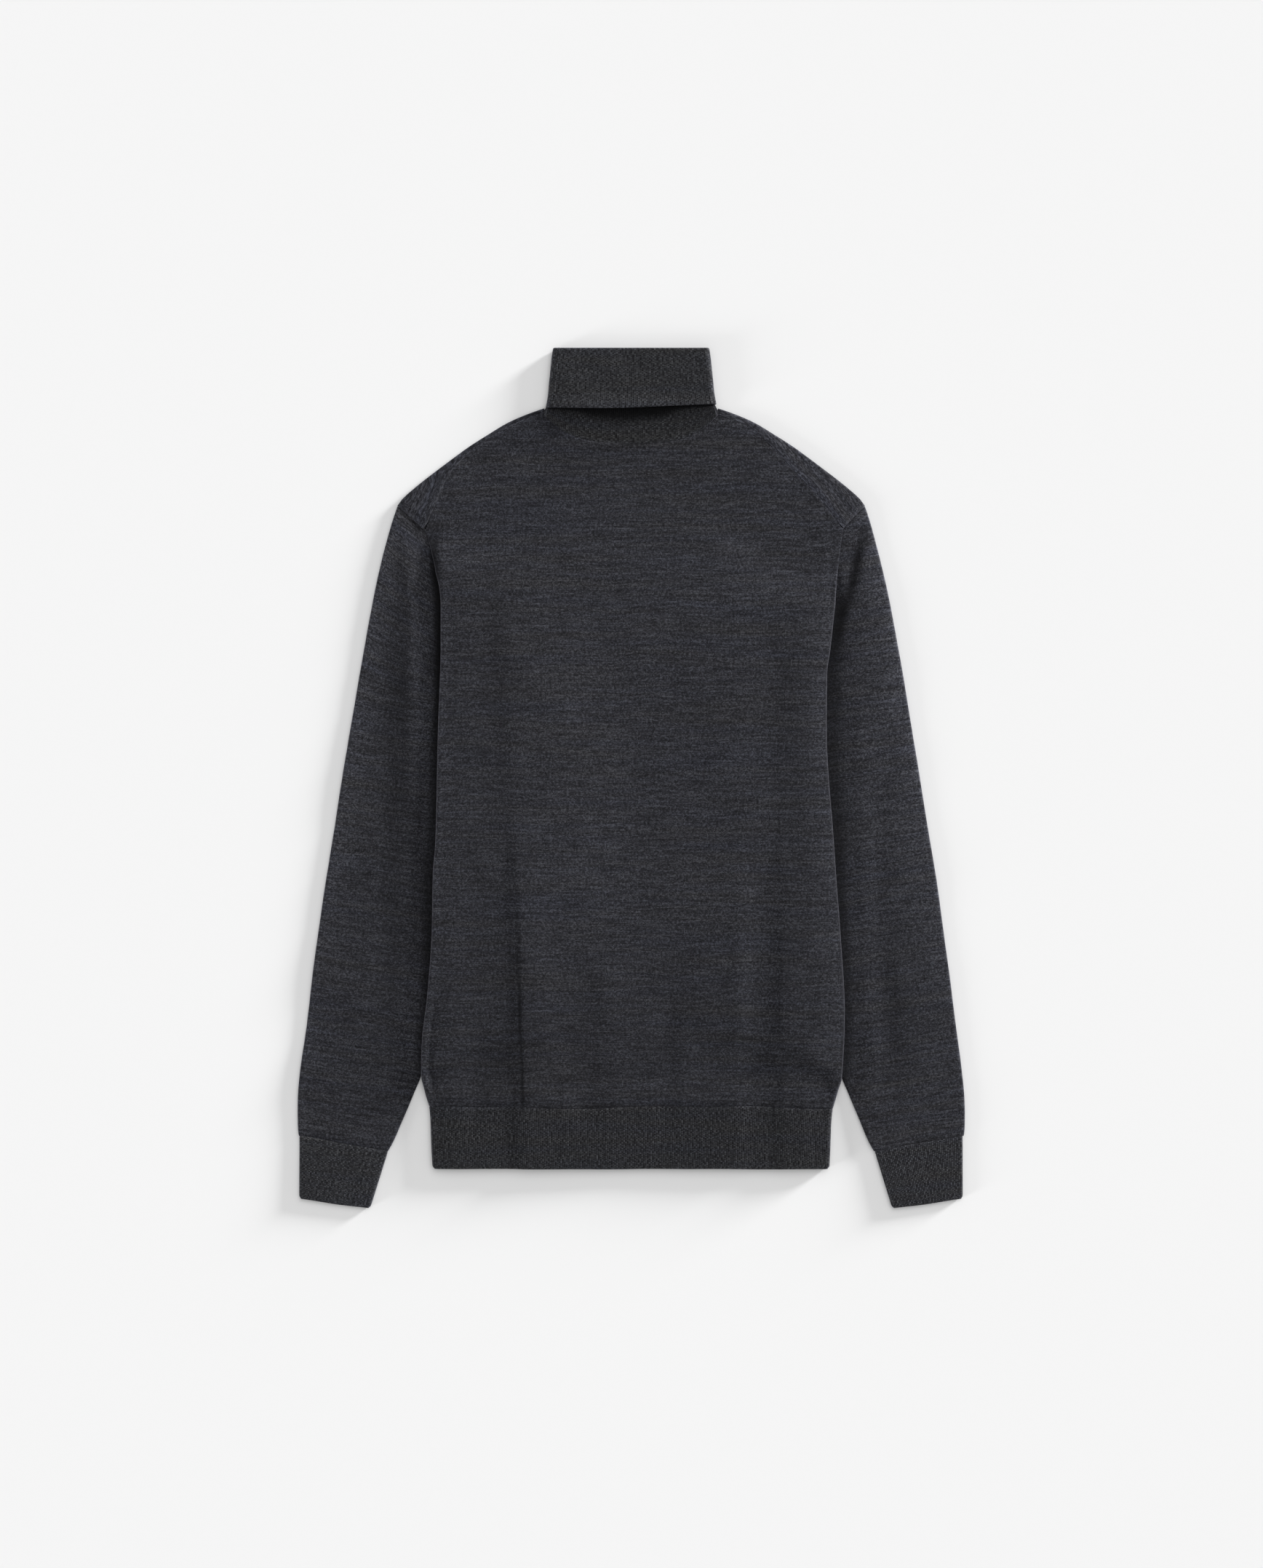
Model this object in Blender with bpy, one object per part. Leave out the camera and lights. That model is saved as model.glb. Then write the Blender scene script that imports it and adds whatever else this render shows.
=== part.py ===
"""Turtleneck sweater in fine-gauge merino, laid flat on its front.

The frame: +X to the viewer's right, +Y from the hem to the collar, +Z up from the surface it lies on.
The sides of the body are folded under, and each sleeve lies beside the body and partly beneath it.
Every piece is one wall of cloth: its middle surface is worked out from the sizes below in millimetres,
and a Solidify modifier gives it the thickness of the knit.

The layers at a folded side, from the surface up, are: sleeve (2), the back's tuck, the front's tuck,
the front and the back. "Layers" in the names below counts how many of these lie under a point.
"""
import math

import bmesh
import bpy
from mathutils import Vector

MM = 0.001

# The knit.
JERSEY = 1.1            # thickness of the plain knit
RIB = 1.5               # thickness of the 1x1 rib
EASE = 0.35             # air between two layers that lie on each other
SEAM_GAP = 0.3          # between two pieces along a seam
LOFT = 1.3              # how far the back stands off the front where nothing presses it

# The body.
HEM_SEAM = -301.0       # where the hem rib begins
HEM_EDGE = -357.5       # the free edge of the hem rib
RISE_OUT = 13.0         # run over which a layer comes down off the tuck's edge
SLEEVE_COVER = (20.0, 3.0)   # how far a layer stays up past the sleeve's inner fold: above, at the gap
SLEEVE_FALL = (22.0, 12.0)   # run over which it then comes down: above, at the gap
YOKE_FALL = 45.0        # run over which the layers come down above the armhole line
FOLD_STEPS = 4          # facets round each fold
TUCK_INSET = 1.5        # the tucks' first column, in from the side seam
LOWER_ROWS = (0.0, 0.025, 0.055, 0.09, 0.14, 0.21, 0.29, 0.37, 0.45, 0.53, 0.61, 0.69, 0.77, 0.85, 0.93, 1.0)
YOKE_ROWS = 7
HEM_ROWS = (0.0, 0.35, 0.7, 1.0)
TUCK_SHARES = (0.0, 0.33, 0.61, 0.84, 1.0)   # columns from a tuck's inner end out to the fold
CENTRE_CELLS = 10
SIDE_POINTS = len(TUCK_SHARES) - 1 + FOLD_STEPS   # points of a row from a side seam up to the panel

# The neck.
POINT = (80.0, 333.0)   # where a shoulder meets the collar: half width, height
NECK_BACK = 306.5       # the neckline's lowest point behind
NECK_FRONT = 247.0      # and in front, beneath the back
TURN_EDGE = 341.0       # free edge of the turned-down collar
NECK_CURVES = (3.4, 2.4)   # how late each neckline rises: behind, in front
SEAM_HALF = 77.6        # half width of the stand at the neckline
COLLAR_TOP = 394.0      # top of the folded collar
COLLAR_LOFT = 1.2       # extra room inside the collar's fold
COLLAR_BEND = 1.2       # radius of the fold along the collar's top
COLLAR_STEPS = 4
COLLAR_ENDS = 6         # facets round each end of the collar's oval
STAND_ROWS = (0.45, 0.7, 0.9)   # shares of the way from the neckline to just above the turned edge
STAND_RISE = (318.0, 339.0)     # where the stand's lower wall climbs, at the middle of the neck

# The sleeves.
TIP = (214.0, 249.0)            # where shoulder, armhole and sleeve meet on the outline: half width, height
TIP_WAY = (0.8, 0.6)            # the outline's way out there
TIP_RISE = 0.9                  # least loft of the sleeve along its outer fold
CUFF_OUT = (303.8, -327.0)      # outer and inner ends of the cuff's seam
CUFF_IN = (222.5, -341.5)
CUFF_END_OUT = (304.0, -385.0)  # outer and inner ends of the cuff's free edge
CUFF_END_IN = (238.8, -394.0)
SLEEVE_ROWS = 15
SLEEVE_FLAT = 8.0       # how far out from the body's fold the sleeve still lies pressed flat
ROW_BIAS = 1.15         # above 1, the sleeve's rows lie closer near the cuff
SLEEVE_BLEND = 0.86     # share of the sleeve above which its top follows the armhole's heights
HIDDEN_CELLS = 4        # cells of the armhole's hidden part, from the corner to the underarm
CUFF_ROWS = (0.0, 0.3, 0.65, 1.0)
CUFF_CELLS = 8

CHARCOAL = (0.031, 0.031, 0.037, 1.0)
CHARCOAL_RIB = (0.026, 0.026, 0.030, 1.0)

# Outline of the whole garment: height, half width. The left and right outlines are alike.
SHOULDER = (
    (79.0, 339.0), (89.0, 335.6), (102.7, 330.3), (114.0, 325.0), (131.7, 314.3), (148.3, 303.7),
    (163.0, 293.0), (177.0, 282.5), (190.7, 272.0), (203.0, 261.8), (209.5, 255.8), (214.3, 249.0),
)
SLEEVE_OUTER = (
    (-340.0, 304.4), (-327.0, 304.8), (-308.0, 305.5), (-294.0, 305.2), (-273.7, 303.6), (-220.3, 296.7),
    (-167.0, 290.0), (-113.7, 282.7), (-60.3, 274.3), (-7.0, 265.7), (46.3, 257.0), (99.7, 248.0),
    (153.0, 238.3), (179.7, 233.0), (206.3, 226.7), (234.3, 219.0), (245.0, 215.7), (249.0, 214.0),
)
# The sleeve's inner fold: height, half width. It is beneath the body above a height of about -272.
SLEEVE_INNER = (
    (-341.5, 222.5), (-327.0, 215.0), (-313.7, 209.5), (-300.0, 203.7), (-287.0, 198.3), (-275.0, 193.3),
    (-200.0, 173.0), (-100.0, 150.0), (0.0, 131.0), (100.0, 112.0), (168.0, 100.0),
)
# Soft folds: line (height, place), rise, half width of the bell, from height, to height, run of its ends.
# The back's are troughs along the tucks' inner edges, a low ridge beside the right one and two more troughs.
BACK_FOLDS = (
    (((-357.0, -99.0), (-114.0, -102.0), (0.0, -116.0), (186.0, -127.0)), -0.95, 9.0, -420.0, 230.0, 120.0),
    (((0.0, 134.0),), -0.8, 9.0, -420.0, 130.0, 120.0),
    (((0.0, 112.0),), 0.7, 16.0, -340.0, -60.0, 80.0),
    (((0.0, -34.0),), -0.55, 14.0, -345.0, -150.0, 60.0),
    (((0.0, 38.0),), -0.5, 13.0, -345.0, -180.0, 60.0),
)
LEFT_SLEEVE_FOLDS = (
    (((-220.0, 224.0), (150.0, 222.0)), -0.5, 12.0, -220.0, 175.0, 60.0),
)
RIGHT_SLEEVE_FOLDS = (
    (((-250.0, 246.0), (0.0, 236.0)), -0.5, 12.0, -270.0, 0.0, 60.0),
    (((130.0, 186.0), (154.0, 187.5), (177.0, 201.5), (217.0, 212.0)), -0.8, 7.0, 125.0, 240.0, 30.0),
)
COLLAR_HALF = ((341.0, 77.6), (352.0, 75.6), (362.0, 74.7), (373.0, 73.5), (384.0, 72.4), (394.0, 70.9))


class Side:
    """One side of the sweater: where its folds and seams run, as half widths by height."""

    def __init__(self, sign, fold, side_seam, armhole, join, shoulder_seam, underarm):
        self.sign = sign
        self.fold = fold
        self.side_seam = side_seam
        self.armhole = armhole
        self.join = join
        self.shoulder_seam = shoulder_seam
        self.underarm = underarm
        self.corner = (armhole[0][1], armhole[0][0])


LEFT = Side(
    sign=-1,
    fold=((-357.5, 182.0), (-340.0, 183.0), (-313.0, 184.0), (-300.0, 185.3), (-287.0, 189.0),
          (-272.0, 192.3), (-245.0, 191.7), (-198.0, 186.5), (-140.0, 182.5), (-87.0, 181.5),
          (-60.0, 179.3), (46.0, 177.0), (120.0, 177.5), (186.3, 180.3)),
    side_seam=((-357.5, 100.0), (-114.0, 101.0), (0.0, 104.0), (168.0, 100.0)),
    armhole=((186.3, 180.3), (199.7, 182.3), (219.7, 186.3), (227.7, 189.7), (235.7, 197.0),
             (249.0, 214.0)),
    join=(189.7, 227.7),
    shoulder_seam=((80.0, 333.0), (110.0, 323.0), (134.3, 309.7), (167.0, 279.7), (179.7, 253.0),
                   (189.7, 227.7)),
    underarm=(100.0, 168.0),
)
RIGHT = Side(
    sign=1,
    fold=((-357.5, 181.7), (-340.0, 182.5), (-313.0, 183.5), (-300.0, 185.0), (-287.0, 188.5),
          (-272.0, 193.0), (-214.0, 195.5), (-140.0, 191.5), (-87.0, 187.5), (-60.0, 185.7),
          (46.0, 179.0), (95.0, 179.3), (120.0, 182.5), (154.3, 186.3)),
    side_seam=((-357.5, 133.0), (0.0, 132.0), (93.0, 124.0), (150.0, 104.0)),
    armhole=((154.3, 186.3), (179.7, 188.3), (215.0, 192.3), (229.0, 194.5), (236.0, 199.5),
             (249.0, 214.0)),
    join=(194.5, 229.0),
    shoulder_seam=((80.0, 333.0), (108.0, 322.5), (131.0, 302.3), (158.3, 273.7), (168.3, 263.0),
                   (194.5, 229.0)),
    underarm=(104.0, 150.0),
)

# Half widths of the columns at the top edge of the body, from an armhole to the shoulder point.
TOP_LEFT = (189.7, 170.0, 147.0, 122.0, 99.0, 80.0)
TOP_RIGHT = (80.0, 101.0, 124.0, 149.0, 173.0, 194.5)


def smooth(x):
    """Ease from 0 to 1 as x goes from 0 to 1."""
    x = min(max(x, 0.0), 1.0)
    return x * x * (3.0 - 2.0 * x)


def mix(a, b, t):
    return a + (b - a) * t


def read(table, at):
    """Value of a table of (place, value) rows at a place, on a smooth curve with no overshoot."""
    rows = sorted(table)
    if at <= rows[0][0]:
        return rows[0][1]
    if at >= rows[-1][0]:
        return rows[-1][1]
    slopes = [(b[1] - a[1]) / (b[0] - a[0]) for a, b in zip(rows, rows[1:])]
    tangents = [slopes[0]]
    for before, after in zip(slopes, slopes[1:]):
        same_way = before * after > 0.0
        tangents.append(2.0 * before * after / (before + after) if same_way else 0.0)
    tangents.append(slopes[-1])
    for i, (a, b) in enumerate(zip(rows, rows[1:])):
        if at <= b[0]:
            span = b[0] - a[0]
            t = (at - a[0]) / span
            start = (1.0 + 2.0 * t) * (1.0 - t) ** 2 * a[1] + t * (1.0 - t) ** 2 * span * tangents[i]
            end = t * t * (3.0 - 2.0 * t) * b[1] + t * t * (t - 1.0) * span * tangents[i + 1]
            return start + end
    return rows[-1][1]


def side_of(x):
    return LEFT if x < 0.0 else RIGHT


# --- Heights ---------------------------------------------------------------------------------------

def pitch(y):
    """Height of one layer: a little more where the hem rib lies."""
    return JERSEY + EASE + (RIB - JERSEY) * smooth((-268.0 - y) / 26.0)


def armhole_line(side, half):
    """Height of the armhole's hidden part at a half width, from the underarm out to the corner."""
    x0, y0 = side.underarm
    x1, y1 = side.corner
    t = min(max((half - x0) / (x1 - x0), 0.0), 1.0)
    return mix(y0, y1, t)


def below_armhole(side, half, y):
    """1 where the folded side lies under a point, easing to 0 above the armhole line."""
    return 1.0 - smooth((y - armhole_line(side, half)) / YOKE_FALL)


def sleeve_layers(x, y):
    """How many of the sleeve's two layers lie under a point of the body."""
    side, half = side_of(x), abs(x)
    past = read(SLEEVE_INNER, y) - half
    near_gap = smooth((-228.0 - y) / 46.0)
    cover, fall = mix(*SLEEVE_COVER, near_gap), mix(*SLEEVE_FALL, near_gap)
    return 2.0 * below_armhole(side, half, y) * (1.0 - smooth((past - cover) / fall))


def body_layers(x, y):
    """How many layers lie under the front panel at a point."""
    side, half = side_of(x), abs(x)
    past = read(side.side_seam, y) - TUCK_INSET - half
    tuck = 2.0 * below_armhole(side, half, y) * (1.0 - smooth(past / RISE_OUT))
    return sleeve_layers(x, y) + tuck


def bell(distance, width):
    return math.exp(-(distance / width) ** 2)


def window(y, low, high, ease):
    return smooth((y - low) / ease) * smooth((high - y) / ease)


def relief(folds, x, y):
    """Height of the soft folds of a table: rows of (line, rise, width, from, to, run of its ends)."""
    return sum(rise * bell(x - read(line, y), width) * window(y, low, high, ease)
               for line, rise, width, low, high, ease in folds)


def fold_centre(side, y):
    """Half width of the axis that the body's side fold turns round."""
    return read(side.fold, y) - 1.5 * pitch(y) - cloth_at(y) / 2.0


def cloth_at(y):
    return RIB if y < HEM_SEAM else JERSEY


def loft(x, y):
    """How far the back stands off the front, fading out where its sides turn down."""
    side, half = side_of(x), abs(x)
    pressed = below_armhole(side, side.corner[0], y)
    near = 1.0 - smooth((fold_centre(side, y) - half) / 25.0)
    room = LOFT * (1.0 - pressed * near)
    return max(room + relief(BACK_FOLDS, x, y) * (1.0 - near), 0.0)


def front_height(x, y, cloth=JERSEY):
    return body_layers(x, y) * pitch(y) + cloth / 2.0


def back_height(x, y, cloth=JERSEY):
    return (body_layers(x, y) + 1.0) * pitch(y) + loft(x, y) + cloth / 2.0


def tuck_height(x, y, above, cloth=JERSEY):
    """Height of the folded-under side: the back's lies lowest, and the front's is one layer above it."""
    return (sleeve_layers(x, y) + above) * pitch(y) + cloth / 2.0


# --- The armhole's edge ----------------------------------------------------------------------------

def armhole_edge(side, y):
    """The back's edge at the armhole: how it starts to turn down as the side fold begins below it.

    Gives the half width of the turn's axis, its radius, and the angle it turns through.
    """
    folded = below_armhole(side, side.corner[0], y)
    angle = mix(math.pi / 6.0, math.pi, folded ** 0.7)
    drop = mix(0.35, 3.0 * pitch(y), folded)
    radius = drop / (1.0 - math.cos(angle))
    visible = read(side.armhole, y) if y > side.corner[1] else read(side.fold, y)
    reach = math.sin(min(angle, math.pi / 2.0))
    return visible - (radius + JERSEY / 2.0) * reach, radius, angle


# --- The grid that the front and the back share ----------------------------------------------------

def columns(y_left, y_right):
    """Places of the body's columns from the left fold's axis to the right one's, by each side's height."""
    left_fold = -armhole_edge(LEFT, y_left)[0]
    right_fold = armhole_edge(RIGHT, y_right)[0]
    left_tuck = -(read(LEFT.side_seam, y_left) - TUCK_INSET)
    right_tuck = read(RIGHT.side_seam, y_right) - TUCK_INSET
    places = [mix(left_tuck, left_fold, share) for share in TUCK_SHARES[::-1]]
    inner_left, inner_right = left_tuck + RISE_OUT, right_tuck - RISE_OUT
    places += [mix(inner_left, inner_right, i / CENTRE_CELLS) for i in range(CENTRE_CELLS + 1)]
    places += [mix(right_tuck, right_fold, share) for share in TUCK_SHARES]
    return places


def arm_row(x):
    """Height of the row that runs through both armhole corners and both underarms."""
    if x < -LEFT.underarm[0]:
        return armhole_line(LEFT, -x)
    if x > RIGHT.underarm[0]:
        return armhole_line(RIGHT, x)
    t = (x + LEFT.underarm[0]) / (LEFT.underarm[0] + RIGHT.underarm[0])
    return mix(LEFT.underarm[1], RIGHT.underarm[1], t)


def lower_point(column, share):
    """Place of a column between the hem seam (share 0) and the armhole row (share 1)."""
    low_y, x = HEM_SEAM, 0.0
    top = columns(LEFT.corner[1], RIGHT.corner[1])[column]
    y = mix(low_y, arm_row(top), share)
    for _ in range(3):
        x = columns(y, y)[column] if share < 1.0 else top
        y = mix(low_y, arm_row(x), share)
    return x, y


def back_top(x):
    """Height of the back's top edge: a shoulder seam, the neckline, and the other shoulder seam."""
    half = abs(x)
    if half >= POINT[0]:
        return read(side_of(x).shoulder_seam, half)
    return neckline(half, NECK_BACK, NECK_CURVES[0])


def front_top(x):
    half = abs(x)
    if half >= POINT[0]:
        return read(side_of(x).shoulder_seam, half)
    return neckline(half, NECK_FRONT, NECK_CURVES[1])


def neckline(half, lowest, power):
    """Height of a neckline at a half width: straight runs between the panels' columns."""
    step = 2.0 * POINT[0] / CENTRE_CELLS
    start = math.floor(half / step + 1e-9) * step
    ends = [lowest + (POINT[1] - lowest) * (place / POINT[0]) ** power for place in (start, start + step)]
    return mix(ends[0], ends[1], (half - start) / step)


def top_places():
    left = [-half for half in TOP_LEFT]
    middle = [mix(-POINT[0], POINT[0], i / CENTRE_CELLS) for i in range(1, CENTRE_CELLS)]
    return left + middle + list(TOP_RIGHT)


def yoke_point(column, row, top_edge):
    """Place of a column above the armhole row, on its way up to the top edge."""
    last = len(top_places()) - 1
    share = row / YOKE_ROWS
    if column in (0, last):
        side = LEFT if column == 0 else RIGHT
        y = mix(side.corner[1], side.join[1], share)
        return side.sign * armhole_edge(side, y)[0], y
    x0, y0 = lower_point(column, 1.0)
    x1 = top_places()[column]
    return mix(x0, x1, share), mix(y0, top_edge(x1), share)


# --- Walls -----------------------------------------------------------------------------------------

class Surface:
    """Collects the points of a middle surface by key, and the faces between them."""

    def __init__(self):
        self.mesh = bmesh.new()
        self.points = {}

    def add(self, key, place):
        self.points[key] = self.mesh.verts.new(Vector(place) * MM)

    def face(self, *keys):
        """Two triangles for four keys, split the same way in plan in every layer, so layers stay apart."""
        if not all(key in self.points for key in keys):
            return
        a, b, c, d = [self.points[key] for key in keys]
        across = c.co - a.co
        if across.x * across.y >= 0.0:
            self.mesh.faces.new((a, b, c))
            self.mesh.faces.new((a, c, d))
        else:
            self.mesh.faces.new((a, b, d))
            self.mesh.faces.new((b, c, d))

    def grid(self, rows, count, closed=False):
        """Faces between neighbouring rows of keys (row, index)."""
        for low, high in zip(rows, rows[1:]):
            for i in range(count if closed else count - 1):
                j = (i + 1) % count
                self.face((low, i), (low, j), (high, j), (high, i))


def finish(name, surface, cloth, colour):
    """Turn a middle surface into a wall of cloth with its own material."""
    mesh = bpy.data.meshes.new(name)
    bmesh.ops.recalc_face_normals(surface.mesh, faces=surface.mesh.faces)
    surface.mesh.to_mesh(mesh)
    surface.mesh.free()
    piece = bpy.data.objects.new(name, mesh)
    bpy.context.scene.collection.objects.link(piece)
    wall = piece.modifiers.new("cloth", "SOLIDIFY")
    wall.thickness = cloth * MM
    wall.offset = 0.0
    wall.use_even_offset = True
    wall.use_rim = True
    mesh.shade_smooth()
    material = bpy.data.materials.new(name + "_knit")
    material.use_nodes = True
    shader = material.node_tree.nodes["Principled BSDF"]
    shader.inputs["Base Color"].default_value = colour
    shader.inputs["Roughness"].default_value = 0.95
    shader.inputs["Metallic"].default_value = 0.0
    mesh.materials.append(material)
    return piece


def arc(centre, height, direction, radius, start, end, steps):
    """Points round a fold: angle 0 is straight down from the axis, pi is straight up from it."""
    points = []
    for i in range(steps + 1):
        angle = mix(start, end, i / steps)
        out = radius * math.sin(angle)
        up = -radius * math.cos(angle)
        points.append((centre[0] + direction[0] * out, centre[1] + direction[1] * out, height + up))
    return points


# --- Back, front and hem ---------------------------------------------------------------------------

def wrapped_row(points, height, cloth, above):
    """One row of a folded body panel below the armholes, from one side seam round to the other.

    above is 1 for the front, whose fold lies inside the back's and whose tuck is the upper one, else 0.
    """
    row = []
    for side, (x, y) in ((LEFT, points[0]), (RIGHT, points[-1])):
        seam = side.sign * read(side.side_seam, y)
        inner_end = seam - side.sign * TUCK_INSET
        tuck = []
        for share in TUCK_SHARES[:-1]:
            place = mix(inner_end, x, share) if share else seam
            across = armhole_line(side, abs(place)) - armhole_line(side, abs(x))
            up = y + across * smooth((y - 60.0) / 100.0)
            tuck.append((place, up, tuck_height(place, up, above, cloth)))
        low, high = tuck_height(x, y, above, cloth), height(x, y, cloth)
        radius = (high - low) / 2.0
        turn = arc((x, y), low + radius, (side.sign, 0.0), radius, 0.0, math.pi, FOLD_STEPS)
        row.append(tuck + turn[:-1])
    return row[0] + [(x, y, height(x, y, cloth)) for x, y in points] + row[1][::-1]


def lower_panel(surface, height, above):
    """Rows of a body panel from the hem seam up to the armhole row, with its folded-under sides."""
    for r, share in enumerate(LOWER_ROWS):
        points = [lower_point(c, share) for c in range(len(top_places()))]
        if r == 0:
            points = [(x, hem_line(x) + SEAM_GAP / 2.0) for x, _ in points]
        for i, place in enumerate(wrapped_row(points, height, JERSEY, above)):
            surface.add((r, i), place)


def armhole_turn(side, y, height):
    """Points of the back's edge as it turns down at the armhole, from the edge up to the panel."""
    half, radius, angle = armhole_edge(side, y)
    return arc((side.sign * half, y), height - radius, (side.sign, 0.0), radius,
               math.pi - angle, math.pi, FOLD_STEPS)[:-1]


def make_back():
    surface = Surface()
    lower_panel(surface, back_height, 0.0)
    count = len(top_places())
    last_row = len(LOWER_ROWS) - 1
    for k in range(1, YOKE_ROWS + 1):
        points = [yoke_point(c, k, back_top) for c in range(count)]
        drop = SEAM_GAP if k == YOKE_ROWS else 0.0
        main = [(x, y - drop, back_height(x, y)) for x, y in points]
        left = armhole_turn(LEFT, points[0][1], main[0][2])
        right = armhole_turn(RIGHT, points[-1][1], main[-1][2])
        for i, place in enumerate(left + main + right[::-1]):
            surface.add((last_row + k, SIDE_POINTS - FOLD_STEPS + i), place)
    surface.grid(range(last_row + YOKE_ROWS + 1), count + 2 * SIDE_POINTS)
    return finish("back", surface, JERSEY, CHARCOAL)


def hem_line(x):
    """Height of the seam between the panels and the hem rib: it wanders a little."""
    return HEM_SEAM + 1.0 * math.sin(x / 38.0) + 0.6 * math.sin(x / 17.0 + 1.0)


def make_hem(name, height, above):
    surface = Surface()
    for r, share in enumerate(HEM_ROWS):
        y = mix(HEM_EDGE, HEM_SEAM, share)
        places = columns(y, y)
        places[0] = -fold_centre(LEFT, y)
        places[-1] = fold_centre(RIGHT, y)
        points = [(x, hem_line(x) - SEAM_GAP / 2.0 if share == 1.0 else y) for x in places]
        for i, place in enumerate(wrapped_row(points, height, RIB, above)):
            surface.add((r, i), place)
    surface.grid(range(len(HEM_ROWS)), len(top_places()) + 2 * SIDE_POINTS)
    return finish(name, surface, RIB, CHARCOAL_RIB)


def shoulder_fold(side, share):
    """Point on the shoulder's outline and the way out from it, from the neck (0) to the armhole (1)."""
    half = mix(POINT[0] + 0.8, TIP[0], share)
    ahead = read(SHOULDER, half + 1.0) - read(SHOULDER, half - 1.0)
    normal = Vector((-ahead, 2.0)).normalized()
    normal = normal.lerp(Vector(TIP_WAY), smooth((share - 0.75) / 0.25)).normalized()
    return (side.sign * half, read(SHOULDER, half)), (side.sign * normal.x, normal.y)


def make_front():
    surface = Surface()
    lower_panel(surface, front_height, 1.0)
    count = len(top_places())
    last_row = len(LOWER_ROWS) - 1
    for k in range(1, YOKE_ROWS + 1):
        for c in range(count):
            x, y = yoke_point(c, k, front_top)
            drop = SEAM_GAP if k == YOKE_ROWS and abs(x) < POINT[0] - 1.0 else 0.0
            surface.add((last_row + k, SIDE_POINTS + c), (x, y - drop, front_height(x, y)))
    surface.grid(range(last_row + YOKE_ROWS + 1), count + 2 * SIDE_POINTS)
    top = last_row + YOKE_ROWS
    shoulder_strip(surface, LEFT, top, range(SIDE_POINTS, SIDE_POINTS + len(TOP_LEFT))[::-1], TOP_LEFT[::-1])
    start = SIDE_POINTS + count - len(TOP_RIGHT)
    shoulder_strip(surface, RIGHT, top, range(start, start + len(TOP_RIGHT)), TOP_RIGHT)
    return finish("front", surface, JERSEY, CHARCOAL)


def shoulder_strip(surface, side, top, keys, halves):
    """The front's way over the shoulder: out beneath to the fold, round it, and back to the seam."""
    span = halves[-1] - halves[0]
    rows = []
    for key, half in zip(keys, halves):
        share = (half - halves[0]) / span
        (px, py), out = shoulder_fold(side, share)
        seam_x, seam_y = side.sign * half, read(side.shoulder_seam, half)
        if share == 1.0:
            px, py = px - side.sign * SEAM_GAP, py + SEAM_GAP
            seam_x -= side.sign * SEAM_GAP
        low = JERSEY / 2.0
        high = back_height(seam_x, seam_y)
        radius = (high - low) / 2.0
        inset = radius + JERSEY / 2.0
        axis = (px - out[0] * inset, py - out[1] * inset)
        turn = arc(axis, low + radius, out, radius, 0.0, math.pi, FOLD_STEPS)
        back = Vector((axis[0] - seam_x, axis[1] - seam_y)).normalized() * SEAM_GAP
        row = turn + [(seam_x + back.x, seam_y + back.y, high)]
        rows.append(row)
        for i, place in enumerate(row):
            surface.add((side.sign, key, i), place)
    for a, b in zip(keys, keys[1:]):
        surface.face((top, a), (top, b), (side.sign, b, 0), (side.sign, a, 0))
        for i in range(len(rows[0]) - 1):
            surface.face((side.sign, a, i), (side.sign, b, i), (side.sign, b, i + 1), (side.sign, a, i + 1))


# --- Sleeves and cuffs -----------------------------------------------------------------------------

def sleeve_seam(side):
    """Points of the armhole from the shoulder tip to the corner and on, hidden, to the underarm.

    Each is (half width, height, middle height of the sleeve's upper layer there).
    """
    points = [(*TIP, JERSEY * 1.5 + EASE + LOFT)]
    for k in range(YOKE_ROWS, -1, -1):
        y = mix(side.corner[1], side.join[1], k / YOKE_ROWS)
        half, radius, angle = armhole_edge(side, y)
        folded = below_armhole(side, side.corner[0], y)
        edge = half + radius * math.sin(angle)
        drop = radius * (1.0 - math.cos(angle))
        height = back_height(side.sign * half, y) - drop
        height -= (JERSEY + EASE) * (1.0 - math.cos(angle)) / 2.0 + 0.3 * math.sin(angle)
        beside = max(math.cos(angle), 0.0) * SEAM_GAP + 0.3 * math.sin(angle)
        points.append((edge + beside + 0.1, y - SEAM_GAP * folded, height))
    corner = points[-1]
    for i in range(1, HIDDEN_CELLS + 1):
        t = i / HIDDEN_CELLS
        y = mix(corner[1], side.underarm[1] - SEAM_GAP, t)
        points.append((mix(corner[0], side.underarm[0], t), y, corner[2]))
    return points


def sleeve_rise(side, x, y):
    """Loft of the sleeve's upper layer: none beneath the body, full a little way out from it."""
    clear = abs(x) - read(side.fold, min(y, side.corner[1]))
    rise = LOFT * smooth((clear - SLEEVE_FLAT) / 25.0)
    folds = relief(LEFT_SLEEVE_FOLDS if side is LEFT else RIGHT_SLEEVE_FOLDS, abs(x), y)
    return max(rise + folds * smooth((clear - SLEEVE_FLAT) / 10.0), 0.0)


def ring(top, low, out_way, in_way):
    """A flattened tube's section: round the outer fold, over the top, round the inner fold, back beneath."""
    outer, inner = top[0], top[-1]
    out_radius = (outer[2] - low) / 2.0
    in_radius = (inner[2] - low) / 2.0
    over = arc(outer[:2], low + out_radius, out_way, out_radius, 0.0, math.pi, FOLD_STEPS)[:-1]
    under = arc(inner[:2], low + in_radius, in_way, in_radius, math.pi, 0.0, FOLD_STEPS)[1:]
    beneath = [(x, y, low) for x, y, _ in top[1:-1]][::-1]
    return over + top + under + beneath


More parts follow.
